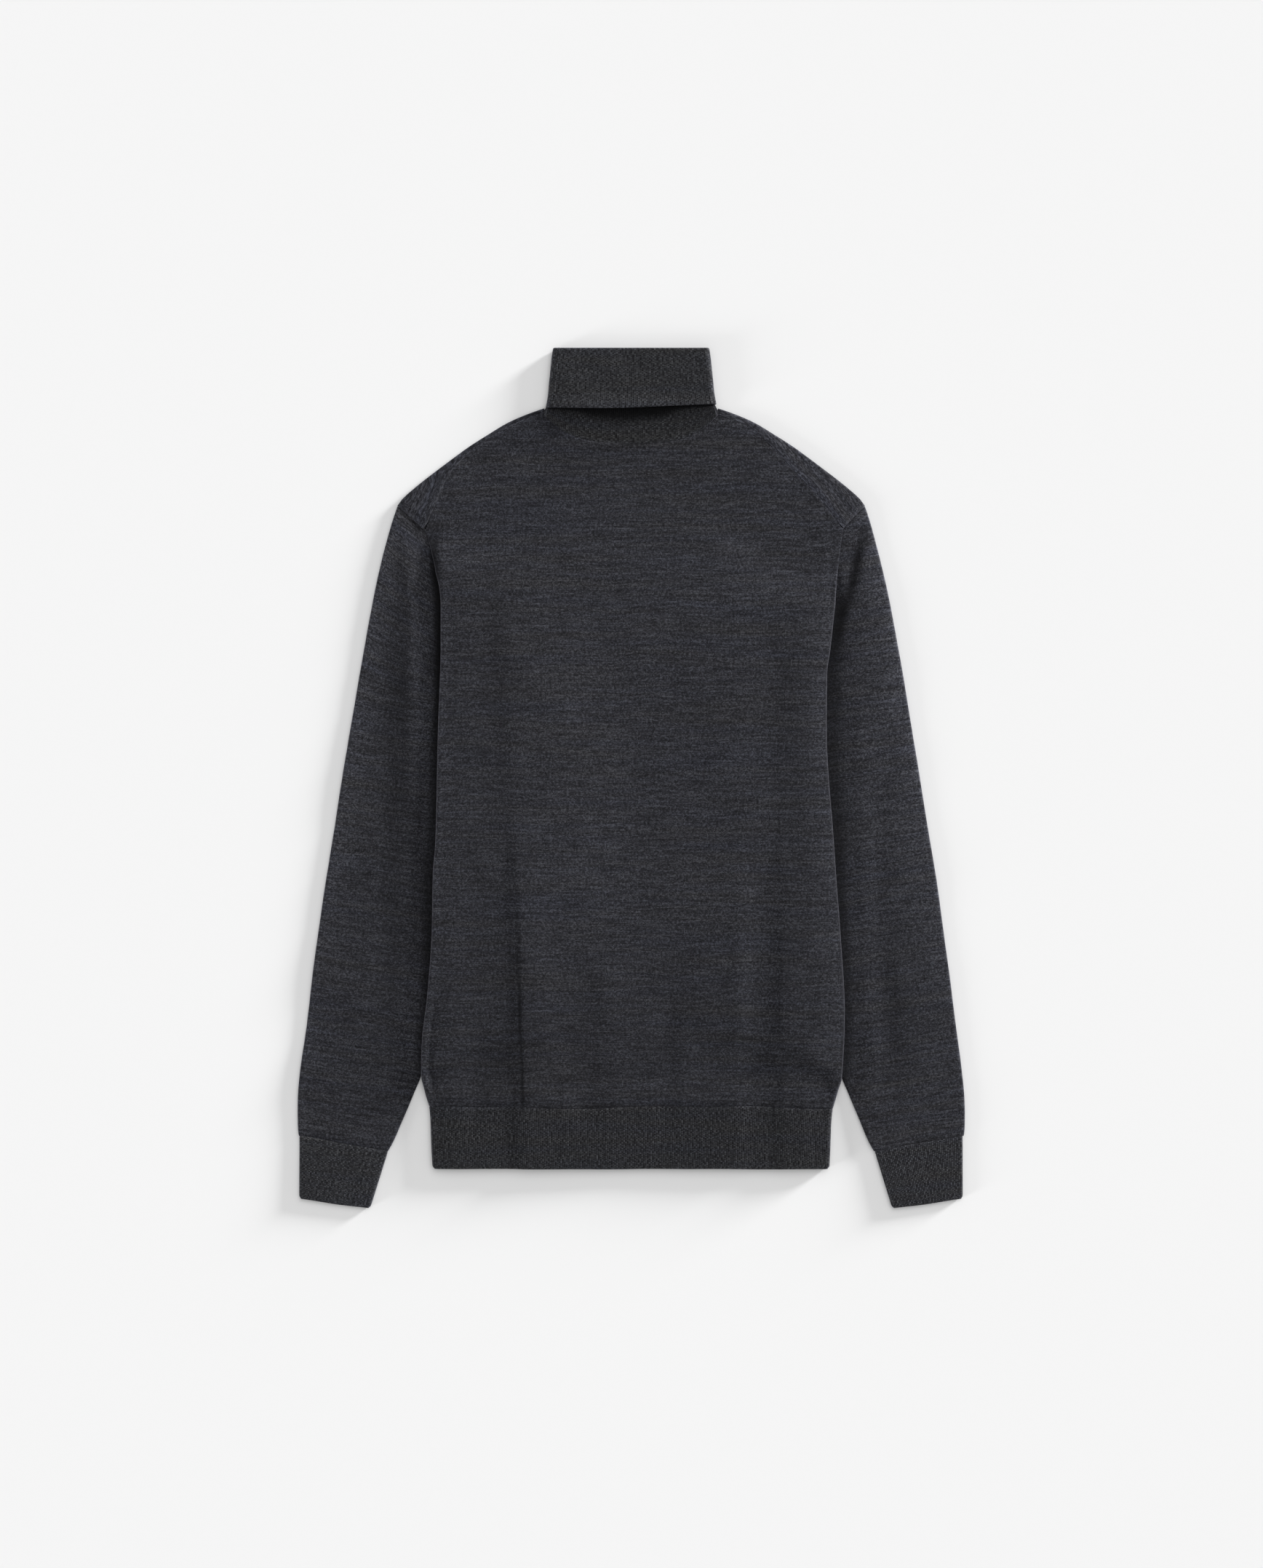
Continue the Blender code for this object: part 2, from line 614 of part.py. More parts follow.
def make_sleeve(name, side):
    surface = Surface()
    seam = sleeve_seam(side)
    cells = len(seam) - 1
    sign = side.sign
    total = 0
    axis_out = (Vector(CUFF_OUT) - Vector(TIP)).normalized()
    across = Vector((-axis_out.y, axis_out.x))
    cuff_way = Vector((CUFF_OUT[0] - CUFF_IN[0], CUFF_OUT[1] - CUFF_IN[1])).normalized()
    for r in range(SLEEVE_ROWS + 1):
        v = (r / SLEEVE_ROWS) ** ROW_BIAS
        outer_y = mix(CUFF_OUT[1], TIP[1], v)
        inner_y = mix(CUFF_IN[1], side.underarm[1], v)
        outer = Vector((read(SLEEVE_OUTER, outer_y), outer_y))
        inner = Vector((read(SLEEVE_INNER, inner_y), inner_y))
        if r == SLEEVE_ROWS:
            inner = Vector(side.underarm)
        out_way = cuff_way.lerp(across, smooth(v / 0.2)).lerp(Vector(TIP_WAY), smooth((v - 0.85) / 0.15))
        out_way.normalize()
        in_way = (-cuff_way).lerp(Vector((-1.0, -0.2)), smooth(v / 0.3)).normalized()
        shut = (1.0 - v) * SEAM_GAP * 0.8
        out_high = JERSEY * 1.5 + EASE + max(sleeve_rise(side, outer.x, outer.y), TIP_RISE)
        in_high = JERSEY * 1.5 + EASE + sleeve_rise(side, inner.x, inner.y)
        outer -= out_way * ((out_high - JERSEY / 2.0) / 2.0 + JERSEY / 2.0)
        inner -= in_way * ((in_high - JERSEY / 2.0) / 2.0 + JERSEY / 2.0)
        tip = Vector(TIP) - Vector(TIP_WAY) * ((seam[0][2] - JERSEY / 2.0) / 2.0 + JERSEY / 2.0)
        under = Vector(seam[-1][:2]) + Vector((1.0, 0.2)).normalized() * (JERSEY + EASE / 2.0)
        top = []
        for k, (sx, sy, sz) in enumerate(seam):
            w = k / cells
            spot = Vector((sx, sy))
            if k == 0:
                spot = tip
            if k == cells:
                spot = under
            straight = outer.lerp(inner, w)
            chord = tip.lerp(under, w)
            place = straight + (spot - chord) * v ** 2.0
            if r == SLEEVE_ROWS:
                place = spot
            rise = sleeve_rise(side, place.x, place.y)
            if k == 0:
                rise = max(rise, TIP_RISE)
            natural = JERSEY * 1.5 + EASE + rise
            z = mix(natural, sz, smooth((v - SLEEVE_BLEND) / (1.0 - SLEEVE_BLEND)))
            top.append((sign * place.x, place.y + shut, z))
        section = ring(top, JERSEY / 2.0, (sign * out_way.x, out_way.y), (sign * in_way.x, in_way.y))
        total = len(section)
        for i, place in enumerate(section):
            surface.add((r, i), place)
    surface.grid(range(SLEEVE_ROWS + 1), total, closed=True)
    return finish(name, surface, JERSEY, CHARCOAL)


def make_cuff(name, side):
    surface = Surface()
    sign = side.sign
    total = 0
    for r, share in enumerate(CUFF_ROWS):
        outer = Vector(CUFF_OUT).lerp(Vector(CUFF_END_OUT), share)
        inner = Vector(CUFF_IN).lerp(Vector(CUFF_END_IN), share)
        way = (outer - inner).normalized()
        high = RIB * 1.5 + EASE + mix(LOFT * 0.7, LOFT, share)
        inset = (high - RIB / 2.0) / 2.0 + RIB / 2.0
        outer -= way * inset
        inner += way * inset
        shut = SEAM_GAP * 0.8 * (1.0 - share)
        top = [outer.lerp(inner, k / CUFF_CELLS) for k in range(CUFF_CELLS + 1)]
        top = [(sign * p.x, p.y - shut, high) for p in top]
        section = ring(top, RIB / 2.0, (sign * way.x, way.y), (-sign * way.x, -way.y))
        total = len(section)
        for i, place in enumerate(section):
            surface.add((r, i), place)
    surface.grid(range(len(CUFF_ROWS)), total, closed=True)
    return finish(name, surface, RIB, CHARCOAL_RIB)


# --- Collar ----------------------------------------------------------------------------------------

def collar_ring(half, low_of, high, y_of):
    """A section of the collar: a flat oval ring.

    low_of gives the lower wall's height by half width and place along +Y, and y_of the place along +Y by
    half width and by which wall it is: True for the upper, False for the lower, None for the ends.
    """
    end_y = y_of(half, None)
    low = low_of(half, end_y)
    radius = (high - low) / 2.0
    centre = half - radius
    step = 2.0 * POINT[0] / CENTRE_CELLS
    inner = CENTRE_CELLS // 2 - 1
    places = [i * step * min(centre / (inner * step + 6.0), 1.0) for i in range(-inner, inner + 1)]
    places = [-centre] + places + [centre]
    beneath = [(x, y_of(abs(x), False)) for x in places[::-1]]
    right = arc((centre, end_y), low + radius, (1.0, 0.0), radius, math.pi, 0.0, COLLAR_ENDS)[1:-1]
    left = arc((-centre, end_y), low + radius, (-1.0, 0.0), radius, 0.0, math.pi, COLLAR_ENDS)[1:-1]
    upper = [(x, y_of(abs(x), True), high) for x in places]
    return upper + right + [(x, y, low_of(abs(x), y)) for x, y in beneath] + left


def level_ring(y, half, low, high):
    return collar_ring(half, lambda x, at: low, high, lambda x, upper: y)


def make_collar():
    surface = Surface()
    layer = RIB + EASE
    turn_low = RIB / 2.0 + 0.05
    stand_low = turn_low + layer
    stand_high = stand_low + layer + COLLAR_LOFT
    turn_high = stand_high + layer
    seam_high = JERSEY * 1.5 + EASE + LOFT

    def near_point(half):
        return smooth((half - 63.0) / 12.0)

    def seam_y(half, upper):
        flat = min(half / POINT[0], 1.0) * POINT[0]
        if upper is None:
            return POINT[1] + SEAM_GAP
        if upper:
            return neckline(flat, NECK_BACK, NECK_CURVES[0]) + SEAM_GAP * 0.8 + 0.5 * near_point(half)
        return neckline(flat, NECK_FRONT, NECK_CURVES[1]) + SEAM_GAP / 2.0 + 0.9 * near_point(half)

    def stand_rise(half, y):
        """The lower wall climbs from the neckline's level to above the turned edge."""
        start = mix(STAND_RISE[0], POINT[1], (half / SEAM_HALF) ** 2)
        return mix(turn_low, stand_low, smooth((y - start) / (STAND_RISE[1] - start)))

    rows = [collar_ring(SEAM_HALF, lambda x, y: turn_low + 0.25 * near_point(x), seam_high, seam_y)]
    for share in STAND_ROWS:
        high = mix(seam_high, stand_high, smooth(share / 0.5))
        half = mix(SEAM_HALF, read(COLLAR_HALF, TURN_EDGE) - layer, smooth(share / 0.6))
        rows.append(collar_ring(half, stand_rise, high,
                                lambda x, upper, s=share: mix(seam_y(x, upper), TURN_EDGE + 3.0, s)))
    for y in (TURN_EDGE + 8.0, 370.0):
        rows.append(level_ring(y, read(COLLAR_HALF, y) - layer, stand_low, stand_high))
    base = COLLAR_TOP - COLLAR_BEND - RIB / 2.0
    for step in range(COLLAR_STEPS + 1):
        angle = math.pi * step / COLLAR_STEPS
        room = COLLAR_BEND * (1.0 + math.cos(angle))
        y = base + COLLAR_BEND * math.sin(angle)
        rows.append(level_ring(y, read(COLLAR_HALF, base) - room, turn_low + room, turn_high - room))
    for y in (368.0, TURN_EDGE):
        rows.append(level_ring(y, read(COLLAR_HALF, y), turn_low, turn_high))
    for r, section in enumerate(rows):
        for i, place in enumerate(section):
            surface.add((r, i), place)
    surface.grid(range(len(rows)), len(rows[0]), closed=True)
    return finish("collar", surface, RIB, CHARCOAL_RIB)


def main():
    for item in list(bpy.data.objects):
        bpy.data.objects.remove(item)
    make_front()
    make_back()
    make_hem("hem_front", front_height, 1.0)
    make_hem("hem_back", back_height, 0.0)
    make_sleeve("sleeve_left", LEFT)
    make_sleeve("sleeve_right", RIGHT)
    make_cuff("cuff_left", LEFT)
    make_cuff("cuff_right", RIGHT)
    make_collar()


main()
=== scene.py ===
"""Turtleneck sweater in fine-gauge merino, laid flat on its front: its cloth, seams, ribs and yarn.

The frame is +X to the viewer's right, +Y from the hem to the collar and +Z up from the surface it lies on.
Sizes below are in millimetres. Every piece is one sheet: a grid is laid out, its points go where the
cloth lies, its "flat_cloth" map keeps each point's place in the flat knit, and a Solidify modifier gives
it the thickness of the knit.
"""

import functools
import math

import bmesh
import bpy
import numpy as np
from mathutils import Matrix, Vector


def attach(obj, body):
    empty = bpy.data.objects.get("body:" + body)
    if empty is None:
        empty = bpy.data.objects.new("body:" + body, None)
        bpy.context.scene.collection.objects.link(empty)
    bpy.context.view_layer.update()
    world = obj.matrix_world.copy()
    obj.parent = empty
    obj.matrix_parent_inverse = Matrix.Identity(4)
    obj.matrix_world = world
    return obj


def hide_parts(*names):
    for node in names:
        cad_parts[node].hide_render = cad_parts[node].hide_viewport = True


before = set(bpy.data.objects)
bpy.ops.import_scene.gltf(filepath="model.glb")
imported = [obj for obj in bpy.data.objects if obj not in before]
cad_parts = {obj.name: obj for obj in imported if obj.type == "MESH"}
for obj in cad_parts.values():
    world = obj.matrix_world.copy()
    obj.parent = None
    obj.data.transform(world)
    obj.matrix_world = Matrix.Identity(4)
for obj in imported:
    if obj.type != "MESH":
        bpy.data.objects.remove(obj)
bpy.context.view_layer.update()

bl_info = {
    "name": "Turtleneck Sweater",
    "version": (1, 0, 0),
    "blender": (4, 5, 0),
    "location": "View3D > Sidebar > Sweater",
    "description": "Lays out a ribbed turtleneck sweater, one sheet of knit for each panel",
    "category": "Add Mesh",
}

MM = 0.001
FLAT_MAP = "flat_cloth"      # each point's place in the flat knit, in metres
TONE_AND_PAINTED_LIGHT = "tone_and_painted_light"                  # how much the colour at a point is scaled: the piece's tone, painted shade and painted highlights
WALL_GROUP = "wall"          # how thick the wall is at a point, from 0 to 1

# The knit.
JERSEY = 1.1            # thickness of a layer of plain knit, with its fuzz
RIB = 1.5               # thickness of a layer of rib
EASE = 0.35             # air between two layers that lie on each other
SEAM_GAP = -0.2         # two pieces meet along a seam, their rolled edges just pressed together
LOFT = 1.3              # how far the back stands off the front where nothing presses it
SECOND_LAYER = JERSEY * 1.5 + EASE      # height of the middle of a second layer of plain knit

# The body.
HEM_SEAM = -301.0       # height of the seam between the panels and the hem rib
HEM_EDGE = -357.5       # height of the hem rib's lower edge
RISE_OUT = 13.0         # how far the front takes to come down past the edge of a tuck
BRIDGE = 220.0          # how far the back takes to come down past it
SLEEVE_BRIDGE = 120.0   # how much further it takes to come down past a sleeve than the front does
SLEEVE_COVER = (20.0, 3.0)      # how far the body stays up past a sleeve's inner edge, and how near the hem
SLEEVE_FALL = (22.0, 12.0)      # how far the front then takes to come down, and how far near the hem
YOKE_HEIGHT = 130.0     # about how far a panel's top edge is above the armholes
YOKE_FALL = 45.0        # how far above the armholes the layers under the body take to end
YOKE_BRIDGE = 130.0     # how far above the armholes the back's middle takes to come down
TUCK_INSET = 1.5        # how far past a side seam the layers above it start to come down
# Where the pile gets thicker for the hem rib, and where the sleeves lie nearly clear of the body: the height
# below which each starts, and how far it takes.
RIB_BLEND = (-268.0, 26.0)
CLEAR_BLEND = (-228.0, 46.0)

# The neck.
POINT = (80.0, 333.0)   # where a shoulder meets the collar: half width, height
NECK_BACK = 306.5       # height of the back's neckline in the middle
NECK_FRONT = 247.0      # height of the front's neckline in the middle
NECK_CURVES = (3.4, 2.4)        # the power of each neckline's curve, back and front
TURN_EDGE = 341.0       # free edge of the turned-down collar
SEAM_HALF = 77.6        # half width of the collar where it is sewn on
COLLAR_TOP = 394.0      # height of the collar's fold
COLLAR_LOFT = 1.2       # how much further apart than its ease the stand's two walls are
COLLAR_BEND = 1.2       # radius of the collar's fold
COLLAR_STEPS = 11       # rows up the straight part of the stand, and as many round the fold
STAND_RISE = (318.0, 339.0)     # where the stand's lower wall comes up off the surface
STAND_LENGTH = 38.0     # length of the stand from its seam to its straight part

# The sleeves, as half width and height.
TIP = np.array((214.0, 249.0))              # where shoulder, armhole and sleeve meet on the outline
TIP_WAY = np.array((0.8, 0.6))              # the way out from it
TIP_RISE = 0.9                              # least loft of the sleeve there
UNDER_WAY = np.array((1.0, 0.2))            # the way out from the underarm along the sleeve's head
CUFF_OUT = np.array((303.8, -327.0))        # ends of the cuff's seam
CUFF_IN = np.array((222.5, -341.5))
CUFF_END_OUT = np.array((304.0, -385.0))    # corners of the cuff's free end
CUFF_END_IN = np.array((238.8, -394.0))
SLEEVE_LENGTH = 600.0   # from seam to seam
CUFF_LENGTH = 56.0      # from its seam to its free end
SLEEVE_FLAT = 8.0       # how far out from the body a sleeve is pressed flat
SLEEVE_BLEND = 0.86     # share of its length past which a sleeve bends to meet the armhole

# Yarn and stitches.
RIB_PITCH = 1.62        # one knit and one purl wale of the rib, side by side
WALE = 1.05             # width of a plain stitch
COURSE = 0.72           # height of a plain stitch
STRIP_WALE = 1.8        # width of a stitch on the shoulders, where the cloth is pulled over from the front
DRIFT_LENGTH = 70.0     # the courses wander over this length
DRIFT = 5.0             # and this far
BAND = 2.1              # height of the courses that share a tone
BAND_LENGTH = 1.7       # and their length, against a stretch of yarn
TUFT = 2.2              # size of a tuft of fibre
STITCH_DEPTH = 0.12     # depth of the stitches, which are too fine to model
# How much the tone varies: with the stretch of yarn, with the band of courses that share a tone, from one
# stitch to the next and with the tufts of fibre over a few stitches; and painted shade between a wale's crest
# and its sides.
YARN_SHARE = 0.8
BAND_SHARE = 0.5
SPECK_SHARE = 0.56
TUFT_SHARE = 0.68
CREST_SHADE_SHARE = 0.3
RIB_SHARES = (0.62, 0.42, 1.05, 0.6)      # the first four of these, for the rib against the plain knit
BESIDE_SHARE = 0.42                       # and how much a pale stitch of the rib darkens the next one
RIB_STREAK = 0.7                          # and the length of its stretches of yarn
RIB_TONE = (1.0, 1.0, 0.925)      # the rib, in firmer yarn, looks a little less blue
COOL_CAST = (0.93, 0.98, 1.11)    # what the dye lots of the fibres multiply its colour by
WARM_CAST = (1.07, 1.03, 0.90)
# How far each piece is moved along the yarn's pattern, so that no two look alike. The sleeves and the cuffs
# have the place between the two, and how far each side is from it.
FRONT_SHIFT = 300.0
STRIP_SHIFT = 500.0
HEM_SHIFT = 800.0
SLEEVE_SHIFT = (2000.0, 655.0)
CUFF_SHIFT = (3000.0, 400.0)
COLLAR_SHIFT = 5000.0


def smooth(distance, run=1.0):
    """Ease from 0 to 1 as the distance goes from 0 to run."""
    x = np.clip(distance / run, 0.0, 1.0)
    return x * x * (3.0 - 2.0 * x)


def fade(distance, run=1.0):
    """Ease from 1 to 0 as the distance goes from 0 to run."""
    return 1.0 - smooth(distance, run)


def mix(a, b, t):
    """From a to b as t goes from 0 to 1."""
    return a + (b - a) * t


def bell(distance, width):
    """1 at no distance, and close to 0 past twice the width."""
    return np.exp(-(distance / width) ** 2)


def unit(way):
    """The same way, one unit long."""
    return way / np.linalg.norm(way, axis=-1, keepdims=True)


class Line:
    """A smooth line through (place, value) rows, with no overshoot and level past its ends."""

    def __init__(self, *rows):
        self.at, self.value = np.array(sorted(rows), float).T
        rise = np.diff(self.value) / np.diff(self.at) if len(rows) > 1 else np.zeros(1)
        both = rise[1:] * rise[:-1]
        turn = np.where(both > 0.0, 2.0 * both / np.where(both > 0.0, rise[1:] + rise[:-1], 1.0), 0.0)
        self.rise = np.concatenate((rise[:1], turn, rise[-1:]))

    def __call__(self, at):
        if len(self.at) == 1:
            return np.full(np.shape(at), self.value[0])
        at = np.clip(at, self.at[0], self.at[-1])
        i = np.clip(np.searchsorted(self.at, at, side="right") - 1, 0, len(self.at) - 2)
        span = self.at[i + 1] - self.at[i]
        t = (at - self.at[i]) / span
        start = (1.0 + 2.0 * t) * (1.0 - t) ** 2 * self.value[i] + t * (1.0 - t) ** 2 * span * self.rise[i]
        end = t * t * (3.0 - 2.0 * t) * self.value[i + 1] + t * t * (t - 1.0) * span * self.rise[i + 1]
        return start + end


# Outlines: half width and height of the shoulder; height and half width of the others.
SHOULDER = Line(
    (79, 339), (89, 335.6), (102.7, 330.3), (114, 325), (131.7, 314.3), (148.3, 303.7),
    (163, 293), (177, 282.5), (190.7, 272), (203, 261.8), (209.5, 255.8), (214.3, 249),
)
SLEEVE_OUTER = Line(
    (-340, 304.4), (-327, 304.8), (-308, 305.5), (-294, 305.2), (-273.7, 303.6), (-220.3, 296.7),
    (-167, 290), (-113.7, 282.7), (-60.3, 274.3), (-7, 265.7), (46.3, 257), (99.7, 248),
    (153, 238.3), (179.7, 233), (206.3, 226.7), (234.3, 219), (245, 215.7), (249, 214),
)
SLEEVE_INNER = Line(
    (-341.5, 222.5), (-327, 215), (-313.7, 209.5), (-300, 203.7), (-287, 198.3), (-275, 193.3),
    (-200, 173), (-100, 150), (0, 131), (100, 112), (168, 100),
)
COLLAR_HALF = Line(
    (341, 77.6), (352, 75.6), (362, 74.7), (373, 73.5), (384, 72.4), (394, 70.9),
)

# Soft folds: line (height and place across), rise, half width of the bell, from height, to height, run of
# its ends. A sleeve's places are half widths.
BACK_FOLDS = (
    (Line((0, 121)), -0.6, 15, -420, 60, 120),
    (Line((0, 100)), 0.5, 12, -345, -90, 100),
    (Line((0, -40)), -1.2, 12, -345, -150, 60),
    (Line((0, 33)), -1, 9, -345, -170, 60),
    (Line((0, -140)), -0.9, 9, -345, -210, 40),
)
LEFT_SLEEVE_FOLDS = (
    (Line((-220, 224), (150, 222)), -0.9, 10, -220, 175, 60),
    (Line((-60, 199.5), (60, 201), (150, 202), (232, 206)), 1.7, 7.5, -60, 262, 80),
)
RIGHT_SLEEVE_FOLDS = (
    (Line((-250, 237), (-190, 230), (-130, 226.5), (-34, 225.5), (20, 232), (60, 236)),
     -0.95, 10.5, -280, 70, 60),
    (Line((130, 183), (160, 189.5), (186, 199), (206, 204.5), (222, 208.5)),
     -1.2, 6, 120, 240, 30),
)
# Creases where the cloth steps up to the right and eases back: line, rise, half width of the step, how far
# it eases back over, from height, to height, run of its ends.
BACK_CREASES = (
    (Line((-357, -105), (-200, -106.5), (-50, -113), (40, -117), (186, -124)),
     0.95, 10, 40, -420, 240, 110),
    (Line((-357, -101), (-180, -103.5), (-20, -112)), 1.15, 3.6, 25, -420, -10, 110),
    (Line((-357, 134.5), (0, 135), (120, 138)), 0.5, 7, 35, -420, 150, 110),
    (Line((0, 135)), 0.55, 3.2, 20, -420, -100, 110),
    (Line((-357, 103), (-150, 105), (0, 106)), -0.9, 8, 30, -420, -40, 100),
)

# Painted shade where no light gets in beside a crease or on a slope: line, share of the light lost, half
# width, from height, to height, run of its ends. A share below 0 is a painted highlight.
BACK_SHADE = (
    (Line((150, -178.6), (176, -178.6), (205, -180.6), (236, -182.5)), 0.86, 3.8, 140, 244, 45),
    (Line((-301, -98.4), (-230, -101.2), (-120, -104.8)), 0.7, 1.3, -400, -110, 90),
    (Line((0, -130)), 0.15, 24, -340, 190, 90),
    (Line((0, 148)), 0.16, 19, -230, 170, 80),
    (Line((0, 0)), 0.09, 130, 175, 420, 60),
    (Line((-100, -92)), 0.1, 12, -340, -20, 80),
    (Line((-250, -48)), 0.2, 13, -340, -140, 70),
    (Line((-260, 175)), -0.22, 7, -292, -225, 25),
)
LEFT_SHADE = (
    (Line((0, 192)), -0.58, 6, -20, 226, 60),
    (Line((0, 219)), 0.14, 14, -330, 160, 100),
    (Line((0, 208)), 0.08, 9, -110, 160, 70),
    (Line((-250, 207), (-194, 203)), -0.32, 8.5, -310, -140, 60),
)
RIGHT_SHADE = (
    (Line((126, 188), (160, 197), (186, 205), (206, 208.5), (222, 212.5)),
     0.78, 5.6, 105, 245, 45),
    (Line((200, 199), (215, 198)), 0.24, 6, 185, 236, 20),
    (Line((-260, 246), (-160, 240)), 0.2, 14, -310, -130, 60),
    (Line((-250, 219), (-140, 215)), -0.12, 8, -310, -100, 60),
)


class Side:
    """One side of the sweater: where its folds and seams run, as half widths by height."""

    def __init__(self, name, sign, fold, side_seam, armhole, join, shoulder_seam, underarm, sleeve_folds):
        self.name = name
        self.sign = sign
        self.way = np.array((sign, 1.0))
        self.fold = Line(*fold)
        self.side_seam = Line(*side_seam)
        self.armhole = Line(*armhole)
        self.join = join
        self.shoulder_seam = Line(*shoulder_seam)
        self.underarm = underarm
        self.corner = (armhole[0][1], armhole[0][0])
        self.sleeve_folds = sleeve_folds


LEFT = Side(
    name="left",
    sign=-1,
    fold=((-357.5, 182), (-340, 183), (-313, 184), (-300, 185.3), (-287, 189),
          (-272, 192.3), (-245, 191.7), (-198, 186.5), (-140, 182.5), (-87, 181.5),
          (-60, 179.3), (46, 176.8), (90, 175.1), (120, 174.3), (160, 174.3), (175, 175.6),
          (186.3, 178.3)),
    side_seam=((-357.5, 100), (-114, 101), (0, 104), (168, 100)),
    armhole=((186.3, 178.3), (199.7, 181.2), (219.7, 186.3), (227.7, 189.7), (235.7, 197),
             (249, 214)),
    join=(189.7, 227.7),
    shoulder_seam=((80, 333), (110, 323), (134.3, 309.7), (167, 279.7), (179.7, 253),
                   (189.7, 227.7)),
    underarm=(100, 168),
    sleeve_folds=LEFT_SLEEVE_FOLDS,
)
RIGHT = Side(
    name="right",
    sign=1,
    fold=((-357.5, 181.7), (-340, 182.5), (-313, 183.5), (-300, 185), (-287, 188.5),
          (-272, 193), (-214, 195.5), (-140, 191.5), (-87, 187.5), (-60, 185.7),
          (46, 179), (95, 179.3), (120, 182.5), (154.3, 186.3)),
    side_seam=((-357.5, 133), (0, 132), (93, 124), (150, 104)),
    armhole=((154.3, 186.3), (179.7, 188.3), (215, 192.3), (229, 194.5), (236, 199.5),
             (249, 214)),
    join=(194.5, 229),
    shoulder_seam=((80, 333), (108, 322.5), (131, 302.3), (158.3, 273.7), (168.3, 263),
                   (194.5, 229)),
    underarm=(104, 150),
    sleeve_folds=RIGHT_SLEEVE_FOLDS,
)

# The body's columns run from 0 at the left fold to 20 at the right one. These are the ones at the folds and
# at both edges of the rise beside each side seam, and then where all of them reach the top edge.
LAST_COLUMN = 20.0
STATIONS = (0.0, 4.0, 5.0, 15.0, 16.0, LAST_COLUMN)
TOP_COLUMNS = (0, 0.64, 1.56, 2.68, 4, 5, 15, 16, 17.32, 18.44, 19.36, LAST_COLUMN)
TOP_PLACES = (-189.7, -170, -147, -122, -99, -80, 80, 101, 124, 149, 173, 194.5)


def by_side(x, measure):
    """Measure on the left side where x is below 0, and on the right side elsewhere."""
    return np.where(x < 0.0, measure(LEFT), measure(RIGHT))


# --- Heights ---------------------------------------------------------------------------------------

def pitch(y):
    """Height of one layer: a little more where the hem rib lies."""
    return JERSEY + EASE + (RIB - JERSEY) * smooth(RIB_BLEND[0] - y, RIB_BLEND[1])


def armhole_line(side, half):
    """Height of the armhole's hidden part at a half width, from the underarm out to the corner."""
    x0, y0 = side.underarm
    x1, y1 = side.corner
    return mix(y0, y1, np.clip((half - x0) / (x1 - x0), 0.0, 1.0))


def below_armhole(side, half, y, bridged=False):
    """1 where the folded side lies under a point, easing to 0 above the armhole line."""
    fall = mix(YOKE_BRIDGE, YOKE_FALL, smooth(half - 50.0, 100.0)) if bridged else YOKE_FALL
    return fade(y - armhole_line(side, half), fall)


def sleeve_share(side, x, y, bridged):
    """1 where a sleeve lies under a point of the body, easing to 0 past its inner edge."""
    out = side.sign * x
    clear = smooth(CLEAR_BLEND[0] - y, CLEAR_BLEND[1])
    more = SLEEVE_BRIDGE * bridged * (1.0 - clear)
    past = SLEEVE_INNER(y) - out - mix(*SLEEVE_COVER, clear)
    beside = fade(past, mix(*SLEEVE_FALL, clear) + more)
    return below_armhole(side, np.maximum(out, 0.0), y, bridged) * beside


def tuck_share(side, x, y, bridged):
    """1 where a side is folded under a point, easing to 0 past the side seam."""
    out = side.sign * x
    past = side.side_seam(y) - TUCK_INSET - out
    beside = fade(past, BRIDGE if bridged else RISE_OUT)
    return below_armhole(side, np.maximum(out, 0.0), y, bridged) * beside


def layers(share, x, y, bridged):
    """How many layers two sides put under a point, each of them two layers deep."""
    return 2.0 * (1.0 - (1.0 - share(LEFT, x, y, bridged)) * (1.0 - share(RIGHT, x, y, bridged)))


def body_layers(x, y, bridged=False):
    """How many layers lie under the front panel, or hold the back up where it bridges over them."""
    return layers(sleeve_share, x, y, bridged) + layers(tuck_share, x, y, bridged)


def relief(folds, x, y):
    """Height of the soft folds of a table."""
    total = 0.0
    for line, rise, width, low, high, ease in folds:
        total = total + rise * bell(x - line(y), width) * smooth(y - low, ease) * smooth(high - y, ease)
    return total


def creases(folds, x, y):
    """Height of the steps of a table."""
    total = 0.0
    for line, rise, width, run, low, high, ease in folds:
        past = x - line(y)
        step = rise * np.tanh(past / width) * np.exp(-np.abs(past) / run)
        total = total + step * smooth(y - low, ease) * smooth(high - y, ease)
    return total


def fold_centre(side, y, cloth):
    """Half width of the axis that the body's side fold turns round."""
    return side.fold(y) - 1.5 * pitch(y) - cloth / 2.0


def loft(x, y):
    """How far the back stands off the front, fading out where its sides turn down."""
    half = np.abs(x)
    pressed = by_side(x, lambda side: below_armhole(side, side.corner[0], y))
    near = fade(by_side(x, lambda side: fold_centre(side, y, JERSEY)) - half, 25.0)
    room = LOFT * (1.0 - pressed * near) + (body_layers(x, y, True) - body_layers(x, y)) * pitch(y)
    folds = relief(BACK_FOLDS, x, y) + creases(BACK_CREASES, x, y)
    return np.maximum(room + folds * (1.0 - near), 0.0)


def front_height(x, y, cloth=JERSEY):
    """Height of the middle of the front's cloth."""
    return body_layers(x, y) * pitch(y) + cloth / 2.0


def back_height(x, y, cloth=JERSEY):
    """Height of the middle of the back's cloth."""
    return (body_layers(x, y) + 1.0) * pitch(y) + loft(x, y) + cloth / 2.0


def tuck_height(x, y, above, cloth):
    """Height of the folded-under side: the back's lies lowest, and the front's is one layer above it."""
    return (layers(sleeve_share, x, y, False) + above) * pitch(y) + cloth / 2.0


